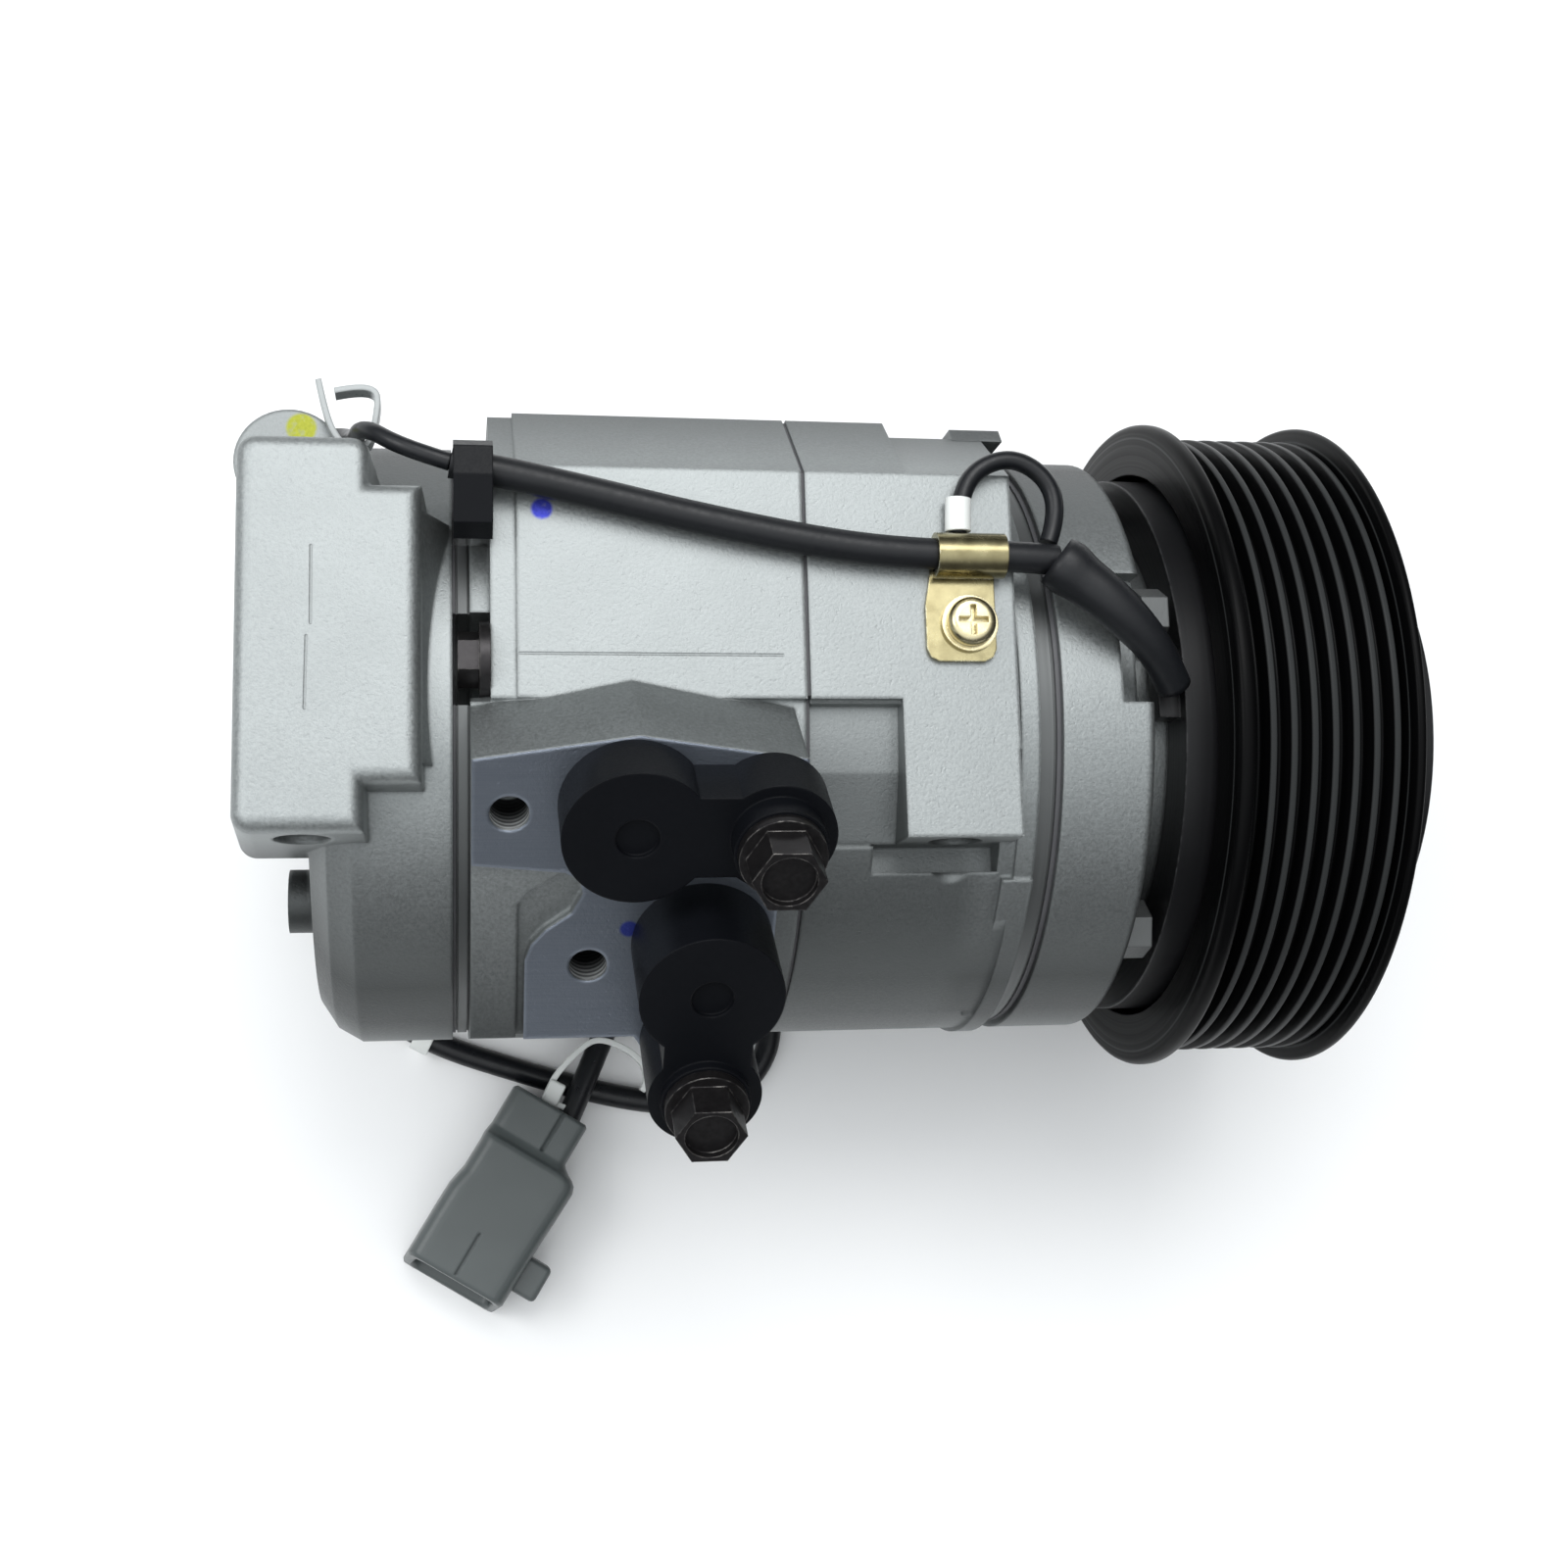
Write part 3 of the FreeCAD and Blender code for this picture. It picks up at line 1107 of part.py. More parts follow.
def build():
    front_housing()
    front_cylinder_block()
    rear_cylinder_block()
    rear_housing()
    centre_gasket()
    valve_plate("front_valve_plate", "front_plate_rear", "front_plate_front", notch=False)
    valve_plate("rear_valve_plate", "rear_plate_rear", "rear_plate_front", notch=True)
    reeds("front_reeds", ("front_block_end", "front_plate_rear"),
          ("front_plate_front", "front_plate_front + 0.4"), notch=False)
    reeds("rear_reeds", ("rear_plate_front", "rear_block_end"),
          ("rear_plate_rear - 0.3", "rear_plate_rear"), notch=True)
    head_gasket("front_head_gasket", "front_plate_front + 0.4", "front_joint")
    head_gasket("rear_head_gasket", "rear_joint", "rear_plate_rear - 0.3")
    through_bolts()
    muffler_bolts()
    port_cap("suction", ("suction_x", "suction_up"), ("suction_bolt_x", "suction_up"), "port_bore")
    port_cap("discharge", ("discharge_x", "discharge_up"), ("discharge_x", "discharge_bolt_up"),
             "port_bore_small")
    port_seals()
    cap_bolts()
    relief_valve()
    field_coil_shell()
    field_coil_winding()
    snap_ring("coil_snap_ring", "-20.2", "-19", "coil_spigot - 0.9", "coil_spigot + 2.4", "5")
    pulley()
    pulley_bearing()
    snap_ring("bearing_snap_ring", "bearing_front + 0.1", "bearing_front + 1.3",
              "nose_radius - 0.8", "nose_radius + 2", "3")
    armature_plate()
    armature_rivets()
    leaf_springs()
    damper_plate()
    damper_ring()
    clutch_hub()
    hub_shim()
    hub_bolt()
    shaft()
    swash_plate()
    piston_shoes()
    pistons()
    thrust_bearing("front_thrust_bearing", "swash_x + (swash_hub_half + chamber_half) / 2")
    thrust_bearing("rear_thrust_bearing", "swash_x - (swash_hub_half + chamber_half) / 2")
    radial_bearing("front_radial_bearing", "swash_x + chamber_half")
    radial_bearing("rear_radial_bearing", "swash_x - chamber_half - needle_length + 0.5")
    shaft_seal()
    snap_ring("seal_snap_ring", "-1.4", "-0.2", "seal_bore - 2", "seal_bore + 0.7", "4")
    lead("harness_sleeve", SLEEVE_ROUTE, "sleeve_radius")
    lead("harness_lead", LEAD_ROUTE, "lead_radius")
    lead("connector_tube", TUBE_ROUTE, "tube_radius")
    lead("coil_lead_boot", BOOT_ROUTE, "boot_radius")
    lead("earth_lead", EARTH_ROUTE, "earth_radius")
    harness_clip()
    harness_clamp()
    clamp_screw()
    connector()


def check_features(body):
    """A pad must add volume, and a pocket or groove must take some away."""
    volume = 0.0
    for feature in body.Group:
        if not feature.isDerivedFrom("PartDesign::Feature"):
            continue
        change = feature.Shape.Volume - volume
        cuts = feature.TypeId in ("PartDesign::Pocket", "PartDesign::Groove")
        adds = feature.TypeId in ("PartDesign::Pad", "PartDesign::Revolution")
        if (cuts and change > -1e-3) or (adds and change < 1e-3):
            raise RuntimeError(f"{body.Label}: {feature.Name} changes the volume by {change:.4f}")
        volume = feature.Shape.Volume


def check_and_write():
    doc.recompute()
    failed = [item.Name for item in doc.Objects if "Invalid" in item.State or "Error" in item.State]
    if failed:
        raise RuntimeError(f"failed objects: {failed}")
    for part in parts:
        if part.isDerivedFrom("PartDesign::Body"):
            check_features(part)
        if part.Shape.isNull() or not part.Shape.isValid() or not part.Shape.Solids:
            raise RuntimeError(f"{part.Label}: bad shape")
    os.makedirs("parts", exist_ok=True)
    for part in parts:
        part.Shape.exportStep(f"parts/{part.Label}.step")
    print(f"{len(parts)} sub-parts written")


build()
check_and_write()
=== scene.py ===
import json
import math

import bpy
from mathutils import Matrix, Vector


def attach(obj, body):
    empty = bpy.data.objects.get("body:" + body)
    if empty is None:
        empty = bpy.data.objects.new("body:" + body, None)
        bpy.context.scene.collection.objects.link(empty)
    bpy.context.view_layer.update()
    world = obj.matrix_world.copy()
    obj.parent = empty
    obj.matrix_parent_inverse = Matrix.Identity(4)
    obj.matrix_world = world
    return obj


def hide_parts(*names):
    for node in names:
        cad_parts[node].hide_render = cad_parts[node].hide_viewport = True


# Looks of the air-conditioning compressor. Routes and drawings are in millimetres, in the CAD frame:
# X along the shaft towards the clutch, the origin in the belt's middle plane, +Z the flat muffler face.

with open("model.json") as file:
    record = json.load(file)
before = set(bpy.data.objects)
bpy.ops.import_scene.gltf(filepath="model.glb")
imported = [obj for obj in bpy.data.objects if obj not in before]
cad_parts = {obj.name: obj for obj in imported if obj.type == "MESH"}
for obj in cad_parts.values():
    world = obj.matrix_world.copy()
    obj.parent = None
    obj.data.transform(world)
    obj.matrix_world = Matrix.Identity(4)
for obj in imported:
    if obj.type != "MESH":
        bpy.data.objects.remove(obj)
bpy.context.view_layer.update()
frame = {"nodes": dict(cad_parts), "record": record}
MM = 0.001
nodes = frame["nodes"]


def mm(point):
    """A point in millimetres, as a vector in metres."""
    return Vector(point) * MM


# ---- camera ----

def add_camera():
    """The photograph's viewpoint: above the flat face, a little to the rear."""
    place = Vector((-141.9, -63.2, 355.1))
    ahead = Vector((0.1661, 0.1538, -0.9740)).normalized()
    right = ahead.cross(Vector((0.003, 0.9877, 0.1564))).normalized()
    up = right.cross(ahead)
    data = bpy.data.cameras.new("camera")
    data.sensor_width = 36.0
    data.lens = 45.8
    data.clip_start = 0.01
    camera = bpy.data.objects.new("camera", data)
    camera.matrix_world = Matrix.Translation(place * MM) @ Matrix((right, up, -ahead)).transposed().to_4x4()
    bpy.context.scene.collection.objects.link(camera)
    bpy.context.scene.camera = camera


add_camera()


# ---- materials ----

class Nodes:
    """A material's node tree, with short calls for the nodes used here."""

    def __init__(self, name):
        self.material = bpy.data.materials.new(name)
        self.material.use_nodes = True
        self.tree = self.material.node_tree
        self.shader = self.tree.nodes["Principled BSDF"]
        self.place = self.add("ShaderNodeTexCoord").outputs["Object"]

    def add(self, kind, **settings):
        node = self.tree.nodes.new(kind)
        for key, value in settings.items():
            setattr(node, key, value)
        return node

    def feed(self, socket, value):
        """Link an output, or set a plain value."""
        if isinstance(value, bpy.types.NodeSocket):
            self.tree.links.new(value, socket)
        else:
            socket.default_value = value

    def noise(self, size_mm, detail=3.0, rough=0.55, vector=None):
        """Noise whose features are about this size."""
        node = self.add("ShaderNodeTexNoise")
        self.feed(node.inputs["Vector"], vector or self.place)
        node.inputs["Scale"].default_value = 1.0 / (size_mm * MM)
        node.inputs["Detail"].default_value = detail
        node.inputs["Roughness"].default_value = rough
        return node.outputs["Fac"]

    def math(self, operation, *values):
        node = self.add("ShaderNodeMath", operation=operation)
        for socket, value in zip(node.inputs, values):
            self.feed(socket, value)
        return node.outputs["Value"]

    def vector_math(self, operation, *values):
        node = self.add("ShaderNodeVectorMath", operation=operation)
        for socket, value in zip(node.inputs, values):
            self.feed(socket, value)
        return node.outputs["Value" if operation in ("DOT_PRODUCT", "LENGTH", "DISTANCE") else "Vector"]

    def span(self, value, low, high, to_low, to_high):
        """Map one range onto another, clamped."""
        node = self.add("ShaderNodeMapRange")
        for name, number in (("Value", value), ("From Min", low), ("From Max", high),
                             ("To Min", to_low), ("To Max", to_high)):
            self.feed(node.inputs[name], number)
        return node.outputs["Result"]

    def mix(self, factor, first, second):
        """Blend two colours."""
        node = self.add("ShaderNodeMix", data_type="RGBA")
        self.feed(node.inputs["Factor"], factor)
        for socket, value in ((node.inputs[6], first), (node.inputs[7], second)):
            self.feed(socket, (*value, 1.0) if isinstance(value, tuple) else value)
        return node.outputs[2]

    def rings(self):
        """Coordinates that run along and out from the shaft, so that noise becomes lathe marks."""
        split = self.add("ShaderNodeSeparateXYZ")
        self.feed(split.inputs[0], self.place)
        radius = self.math("SQRT", self.math("ADD", self.math("POWER", split.outputs["Y"], 2.0),
                                             self.math("POWER", split.outputs["Z"], 2.0)))
        join = self.add("ShaderNodeCombineXYZ")
        self.feed(join.inputs["X"], split.outputs["X"])
        self.feed(join.inputs["Y"], radius)
        return join.outputs[0]

    def near(self, point, radius_mm, fringe_mm=0.5):
        """One inside a sphere about a point, fading to nought at its fringe."""
        away = self.vector_math("DISTANCE", self.place, tuple(mm(point)))
        return self.span(away, (radius_mm - fringe_mm) * MM, radius_mm * MM, 1.0, 0.0)

    def line(self, start, end, half_mm):
        """One along a straight line between two points, fading to nought at its sides."""
        start, end = mm(start), mm(end)
        length = (end - start).length
        along = tuple((end - start).normalized())
        away = self.vector_math("SUBTRACT", self.place, tuple(start))
        reach = self.span(self.vector_math("DOT_PRODUCT", away, along), 0.0, length, 0.0, length)
        off = self.vector_math("SUBTRACT", away, self.vector_math("MULTIPLY", along, reach))
        return self.span(self.vector_math("LENGTH", off), 0.3 * half_mm * MM, half_mm * MM, 1.0, 0.0)

    def bevel(self, radius_mm):
        node = self.add("ShaderNodeBevel", samples=4)
        node.inputs["Radius"].default_value = radius_mm * MM
        return node.outputs["Normal"]

    def edges(self, rounded):
        """One along sharp edges, from the rounded normal's lean away from the true one."""
        true = self.add("ShaderNodeNewGeometry").outputs["Normal"]
        return self.span(self.vector_math("DOT_PRODUCT", rounded, true), 0.985, 0.85, 0.0, 1.0)

    def bump(self, height, depth_mm, normal=None):
        node = self.add("ShaderNodeBump")
        node.inputs["Strength"].default_value = 1.0
        node.inputs["Distance"].default_value = depth_mm * MM
        self.feed(node.inputs["Height"], height)
        if normal is not None:
            self.feed(node.inputs["Normal"], normal)
        self.feed(self.shader.inputs["Normal"], node.outputs["Normal"])

    def surface(self, colour, roughness, metallic):
        self.feed(self.shader.inputs["Base Color"], colour)
        self.feed(self.shader.inputs["Roughness"], roughness)
        self.shader.inputs["Metallic"].default_value = metallic
        return self.material


def metal(name, light, dark, roughness, grain_mm=0.5, blotch_mm=9.0, depth_mm=0.02, metallic=0.85,
          turned=False, round_mm=0.35, worn=None, gloss=0.5):
    """A metal with fine grain, slow shading, rounded edges and, where wanted, lathe marks or worn edges."""
    n = Nodes(name)
    vector = n.rings() if turned else n.place
    grain = n.noise(grain_mm, vector=vector)
    blotch = n.noise(blotch_mm, detail=2.0)
    colour = n.mix(n.math("ADD", n.math("MULTIPLY", grain, 0.5), n.math("MULTIPLY", blotch, 0.5)), dark, light)
    rounded = n.bevel(round_mm)
    if worn is not None:
        rubbed = n.math("MULTIPLY", n.edges(rounded), n.span(n.noise(1.6), 0.42, 0.6, 0.0, 1.0))
        colour = n.mix(rubbed, colour, worn)
    n.bump(grain, depth_mm, rounded)
    n.shader.inputs["Specular IOR Level"].default_value = gloss
    return n.surface(colour, n.span(grain, 0.3, 0.7, roughness - 0.06, roughness + 0.06), metallic)


def plastic(name, light, dark, roughness, grain_mm=0.35, depth_mm=0.015, round_mm=0.4, gloss=0.5):
    """A moulded or rubber surface: fine spark grain, faint flow shading, rounded edges."""
    n = Nodes(name)
    grain = n.noise(grain_mm)
    flow = n.noise(14.0, detail=2.0)
    n.bump(grain, depth_mm, n.bevel(round_mm))
    n.shader.inputs["Specular IOR Level"].default_value = gloss
    return n.surface(n.mix(flow, dark, light), n.span(grain, 0.3, 0.7, roughness - 0.05, roughness + 0.07), 0.0)


CAST_LIGHT, CAST_DARK = (0.335, 0.355, 0.355), (0.24, 0.255, 0.255)
CAST_PORE, CAST_PARTING = (0.30, 0.31, 0.31), (0.16, 0.17, 0.17)
# painted shade colours: the first for painted shadows, the second for the painted dark band along the flanks
CAST_PAINTED_SHADOW, CAST_FLANK_SHADE = (0.10, 0.107, 0.107), (0.045, 0.048, 0.048)
CAST_METALLIC = 0.9
BLUE_PAINT, BLUE_INK, YELLOW_PAINT = (0.05, 0.06, 0.42), (0.06, 0.08, 0.40), (0.30, 0.32, 0.03)
# The port face: which way it looks, how far it stands from the shaft, and the middles of its threaded holes.
PORT_LEAN = math.radians(40)
PORT_NORMAL = Vector((0, -math.sin(PORT_LEAN), math.cos(PORT_LEAN)))
PORT_FACE = 58.0
STUD_HOLES = ((-132.9, -17.8, 54.9), (-120.3, -39.4, 36.8))
THREAD_PITCH = 1.0


def casting(name, marks=(), lines=(), shade=()):
    """Blasted aluminium: speckled grain over slow shading, pores, dabs of paint and fine parting lines.

    Each mark is a point, a radius and a paint, and each line has two ends. The shade is a painted shadow, a
    darker
    region: for each axis, the station where it starts and the one where it is full.
    """
    n = Nodes(name)
    speckle = n.noise(0.55, detail=4.0, rough=0.7)
    blotch = n.noise(11.0, detail=3.0)
    pores = n.span(n.noise(0.9, detail=1.0), 0.66, 0.74, 0.0, 1.0)
    colour = n.mix(n.span(speckle, 0.34, 0.66, 0.0, 1.0), CAST_DARK, CAST_LIGHT)
    colour = n.mix(n.span(blotch, 0.35, 0.65, 0.0, 0.22), colour, CAST_DARK)
    colour = n.mix(n.math("MULTIPLY", pores, 0.12), colour, CAST_PORE)
    rough = n.span(speckle, 0.3, 0.7, 0.42, 0.56)
    height = n.math("SUBTRACT", speckle, n.math("MULTIPLY", pores, 0.25))
    for point, radius_mm, paint in marks:
        patchy = n.span(n.noise(1.2), 0.25, 0.45, 0.55, 1.0)
        colour = n.mix(n.math("MULTIPLY", n.near(point, radius_mm), patchy), colour, paint)
    split = n.add("ShaderNodeSeparateXYZ")
    n.feed(split.inputs[0], n.place)
    # painted shade: a dark band along the barrel's flanks, deepest about 20 mm above the shaft
    above = n.span(split.outputs["Z"], 50.5 * MM, 27 * MM, 0.0, 0.88)
    below = n.span(split.outputs["Z"], 16 * MM, -12 * MM, 1.0, 0.1)
    colour = n.mix(n.math("MULTIPLY", above, below), colour, CAST_FLANK_SHADE)
    # painted shadow: the shade region is darkened towards a flat dark colour
    if shade:
        part = 1.0
        for axis, clear_mm, full_mm in shade:
            part = n.math("MULTIPLY", part, n.span(split.outputs[axis], clear_mm * MM, full_mm * MM, 0.0, 1.0))
        colour = n.mix(n.math("MULTIPLY", part, 0.55), colour, CAST_PAINTED_SHADOW)
    for start, end in lines:
        parting = n.line(start, end, 0.28)
        colour = n.mix(n.math("MULTIPLY", parting, 0.35), colour, CAST_PARTING)
        height = n.math("SUBTRACT", height, n.math("MULTIPLY", parting, 1.4))
    n.bump(height, 0.06, n.bevel(0.9))
    n.surface(colour, rough, CAST_METALLIC)
    return n


def block_aluminium(name):
    """The rear block's casting, with its port face milled: smooth, bluish, with fine straight tool marks."""
    n = casting(name, marks=(((-127.4, 27.9, 53.5), 1.9, BLUE_PAINT),),
                lines=(((-131, 4.9, 53.5), (-90, 4.9, 53.5)),))
    height = n.vector_math("DOT_PRODUCT", n.place, tuple(PORT_NORMAL))
    true = n.add("ShaderNodeNewGeometry").outputs["Normal"]
    level = n.span(n.vector_math("DOT_PRODUCT", true, tuple(PORT_NORMAL)), 0.99, 0.999, 0.0, 1.0)
    milled = n.math("MULTIPLY", level, n.span(height, (PORT_FACE - 0.3) * MM, (PORT_FACE - 0.1) * MM, 0.0, 1.0))
    stretch = n.add("ShaderNodeMapping")
    stretch.inputs["Scale"].default_value = (0.02, 1.0, 1.0)
    n.feed(stretch.inputs["Vector"], n.place)
    cuts = n.noise(0.25, vector=stretch.outputs[0])
    skin = n.mix(cuts, (0.20, 0.225, 0.27), (0.27, 0.30, 0.35))
    skin = n.mix(n.near((-114.1, -37.0, 44.7), 1.7), skin, BLUE_INK)
    # the stud holes' threads: the ridges get a painted highlight near the mouth, which fades with depth into
    # painted shade
    threads = n.math("MAXIMUM", *(n.near(hole, 5.3, 0.3) for hole in STUD_HOLES))
    painted_depth_shade = n.span(height, (PORT_FACE - 5.2) * MM, (PORT_FACE - 1.6) * MM, 0.04, 1.0)
    turns = n.math("MULTIPLY", height, 2 * math.pi / (THREAD_PITCH * MM))
    ridges = n.span(n.math("SINE", turns), -0.6, 0.6, 0.3, 1.0)
    painted_thread_light = n.mix(n.math("MULTIPLY", painted_depth_shade, ridges), (0.015, 0.016, 0.018), (0.90, 0.92, 0.92))
    cast_colour = n.shader.inputs["Base Color"].links[0].from_socket
    colour = n.mix(milled, n.mix(threads, cast_colour, painted_thread_light), skin)
    cast_rough = n.shader.inputs["Roughness"].links[0].from_socket
    smooth = n.math("MULTIPLY", n.math("SUBTRACT", 0.34, cast_rough), milled)
    return n.surface(colour, n.math("ADD", cast_rough, smooth), CAST_METALLIC)


MATERIALS = {
    "cast_aluminium": casting("cast_aluminium").material,
    "bare_steel": metal("bare_steel", (0.62, 0.62, 0.63), (0.42, 0.42, 0.44), 0.28, 0.3, depth_mm=0.006,
                        metallic=1.0, turned=True),
    "zinc_steel": metal("zinc_steel", (0.66, 0.68, 0.69), (0.45, 0.47, 0.48), 0.34, 0.4, depth_mm=0.01,
                        metallic=1.0),
    "black_steel": metal("black_steel", (0.008, 0.008, 0.009), (0.004, 0.004, 0.0045), 0.34, 0.6, 6.0, 0.008,
                         metallic=0.0, turned=True, round_mm=0.5, worn=(0.05, 0.05, 0.052), gloss=0.28),
    "bolt_steel": metal("bolt_steel", (0.045, 0.042, 0.043), (0.014, 0.013, 0.014), 0.34, 0.8, 3.0, 0.012,
                        metallic=0.8, round_mm=0.3, worn=(0.20, 0.19, 0.18)),
    "chromate_steel": metal("chromate_steel", (0.42, 0.38, 0.22), (0.13, 0.105, 0.05), 0.24, 2.2, 3.4, 0.004,
                            metallic=1.0, round_mm=0.3, worn=(0.80, 0.80, 0.66)),
    "black_plastic": plastic("black_plastic", (0.0045, 0.005, 0.007), (0.0025, 0.003, 0.004), 0.4,
                             gloss=0.12),
    "grey_plastic": plastic("grey_plastic", (0.085, 0.098, 0.098), (0.060, 0.070, 0.070), 0.36, round_mm=0.8),
    "black_rubber": plastic("black_rubber", (0.012, 0.014, 0.014), (0.006, 0.007, 0.007), 0.5, 0.6, 0.03),
    "gasket": plastic("gasket", (0.10, 0.10, 0.105), (0.05, 0.05, 0.055), 0.6),
    "coil_resin": plastic("coil_resin", (0.03, 0.028, 0.026), (0.016, 0.015, 0.015), 0.3),
    "contact_metal": metal("contact_metal", (0.82, 0.80, 0.72), (0.66, 0.62, 0.52), 0.22, 0.5, metallic=1.0),
}
REAR_BLOCK = block_aluminium("rear_block_aluminium")
REAR_HOUSING = casting("rear_housing_aluminium", marks=(((-164.6, 43.2, 44.0), 2.6, YELLOW_PAINT),),
                       lines=(((-162.1, 20.4, 57), (-162.1, 8.5, 57)),
                              ((-162.7, 6.5, 57), (-162.9, -4.5, 57)))).material
# painted shadow in the recess beside and under the front block's box
FRONT_BLOCK = casting("front_block_aluminium",
                      shade=(("Z", 53.2, 50.5), ("X", -56, -60), ("Y", 0, -14))).material
SCREW_STEEL = metal("screw_steel", (0.66, 0.60, 0.40), (0.46, 0.39, 0.22), 0.24, 1.0, 2.0, 0.004, metallic=1.0,
                    round_mm=0.3)
DULL_STEEL = metal("dull_steel", (0.15, 0.155, 0.155), (0.10, 0.105, 0.105), 0.5, 0.5, metallic=0.8,
                   turned=True)
CLEAR_NYLON = plastic("clear_nylon", (0.36, 0.38, 0.38), (0.28, 0.30, 0.30), 0.3, 0.5, 0.01)
NYLON = plastic("nylon", (0.80, 0.82, 0.80), (0.68, 0.70, 0.68), 0.4, 0.5, 0.01)


def dress_frame():
    """Give every CAD node the material of its slot."""
    slots = {part["node"]: part["material_slot"] for part in frame["record"]["subparts"]}
    own = {"rear_cylinder_block": REAR_BLOCK, "rear_housing": REAR_HOUSING, "front_cylinder_block": FRONT_BLOCK,
           "through_bolts": DULL_STEEL, "front_valve_plate": DULL_STEEL, "rear_valve_plate": DULL_STEEL,
           "front_reeds": DULL_STEEL, "rear_reeds": DULL_STEEL, "clamp_screw": SCREW_STEEL}
    for name, piece in nodes.items():
        piece.data.materials.clear()
        piece.data.materials.append(own.get(name, MATERIALS[slots[name]]))


dress_frame()


# ---- drawing helpers ----

def keep(piece, material, body="root"):
    """Finish a new piece: its material and the body it rides on."""
    piece.data.materials.clear()
    piece.data.materials.append(material)
    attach(piece, body)
    return piece


def nurbs(name, route, radius_mm):
    """A smooth round cord whose control points are the route's points."""
    data = bpy.data.curves.new(name, "CURVE")
    data.dimensions = "3D"
    data.resolution_u = 10
    data.bevel_depth = radius_mm * MM
    data.bevel_resolution = 6
    data.use_fill_caps = True
    spline = data.splines.new("NURBS")
    spline.points.add(len(route) - 1)
    for point, target in zip(spline.points, route):
        point.co = (*mm(target), 1.0)
    spline.order_u = 3
    spline.use_endpoint_u = True
    piece = bpy.data.objects.new(name, data)
    bpy.context.scene.collection.objects.link(piece)
    return piece


def centre_line(route):
    """Points along the route's smooth line."""
    curve = nurbs("line", route, 0.0)
    mesh = bpy.data.meshes.new_from_object(curve)
    points = [vertex.co.copy() for vertex in mesh.vertices]
    bpy.data.objects.remove(curve)
    bpy.data.meshes.remove(mesh)
    return points


def mesh_piece(name, vertices, faces, smooth=True):
    """A new object from its corners and faces."""
    data = bpy.data.meshes.new(name)
    data.from_pydata([tuple(v) for v in vertices], [], faces)
    data.validate()
    data.polygons.foreach_set("use_smooth", [smooth] * len(data.polygons))
    piece = bpy.data.objects.new(name, data)
    bpy.context.scene.collection.objects.link(piece)
    return piece


def loft(name, loops, smooth=True):
    """Skin a run of equal closed loops, capped at both ends."""
    count = len(loops[0])
    vertices = [point for loop in loops for point in loop]
    faces = []
    for k in range(len(loops) - 1):
        for j in range(count):
            a, b = k * count + j, k * count + (j + 1) % count
            faces.append((a, b, b + count, a + count))
    faces.append(tuple(reversed(range(count))))
    faces.append(tuple(range(len(vertices) - count, len(vertices))))
    return mesh_piece(name, vertices, faces, smooth)


def lathe(name, profile, steps=256):
    """Turn a closed outline of (station, radius) points, in millimetres, about the shaft axis."""
    profile = profile[::-1]
    count = len(profile)
    vertices = []
    for s in range(steps):
        turn = 2 * math.pi * s / steps
        vertices += [mm((x, r * math.cos(turn), r * math.sin(turn))) for x, r in profile]
    faces = []
    for s in range(steps):
        for k in range(count):
            a, b = s * count + k, s * count + (k + 1) % count
            c, d = (b + count) % len(vertices), (a + count) % len(vertices)
            faces.append((a, d, c, b))
    return mesh_piece(name, vertices, faces)


def rounded_corners(corners, steps=4):
    """Round a closed 2-D outline: each corner is (x, y) for a sharp one, or (x, y, radius)."""
    outline = []
    count = len(corners)
    for k, corner in enumerate(corners):
        here = Vector(corner[:2])
        if len(corner) == 2:
            outline.append(tuple(here))
            continue
        back = Vector(corners[k - 1][:2]) - here
        ahead = Vector(corners[(k + 1) % count][:2]) - here
        trim = min(corner[2] / math.tan(back.angle(ahead) / 2), 0.49 * back.length, 0.49 * ahead.length)
        first, last = here + back.normalized() * trim, here + ahead.normalized() * trim
        for s in range(steps + 1):
            t = s / steps
            point = first * (1 - t) ** 2 + here * (2 * t * (1 - t)) + last * t ** 2
            outline.append(tuple(point))
    return outline


# ---- belt pulley ----

RIB_PITCH = 3.56
RIB_ROOT, RIB_CREST, FLANGE_RADIUS = 54.6, 57.1, 59.6
# a hair behind the CAD face at 12 mm, so that the engaged armature only just meets it
FRICTION_FACE = 11.95


def pulley_outline():
    """The pulley's section: hub, web, rim, rolled flanges and seven rounded ribs."""
    corners = [(FRICTION_FACE, 25.9, 0.3), (8, 25.9), (8, 27.5), (-12, 27.5), (-12, 26.5), (-13.6, 26.5, 0.3),
               (-13.6, 32.2, 0.4), (8, 32.2, 2.0), (8, 50.3, 2.0), (-17.6, 50.3, 0.5), (-17.6, 55.2, 0.8),
               (-17.3, FLANGE_RADIUS, 1.6), (-14.6, FLANGE_RADIUS, 1.4), (-12.9, RIB_ROOT, 0.9)]
    for rib in range(-3, 4):
        centre = RIB_PITCH * rib
        corners += [(centre - 1.38, RIB_ROOT, 0.45), (centre - 0.55, RIB_CREST, 0.5),
                    (centre + 0.55, RIB_CREST, 0.5), (centre + 1.38, RIB_ROOT, 0.45)]
    corners += [(12.3, RIB_ROOT, 0.9), (12.9, FLANGE_RADIUS, 0.9), (14.6, FLANGE_RADIUS, 0.9), (14.6, 51, 0.8),
                (FRICTION_FACE, 51, 0.6)]
    return rounded_corners(corners, steps=5)


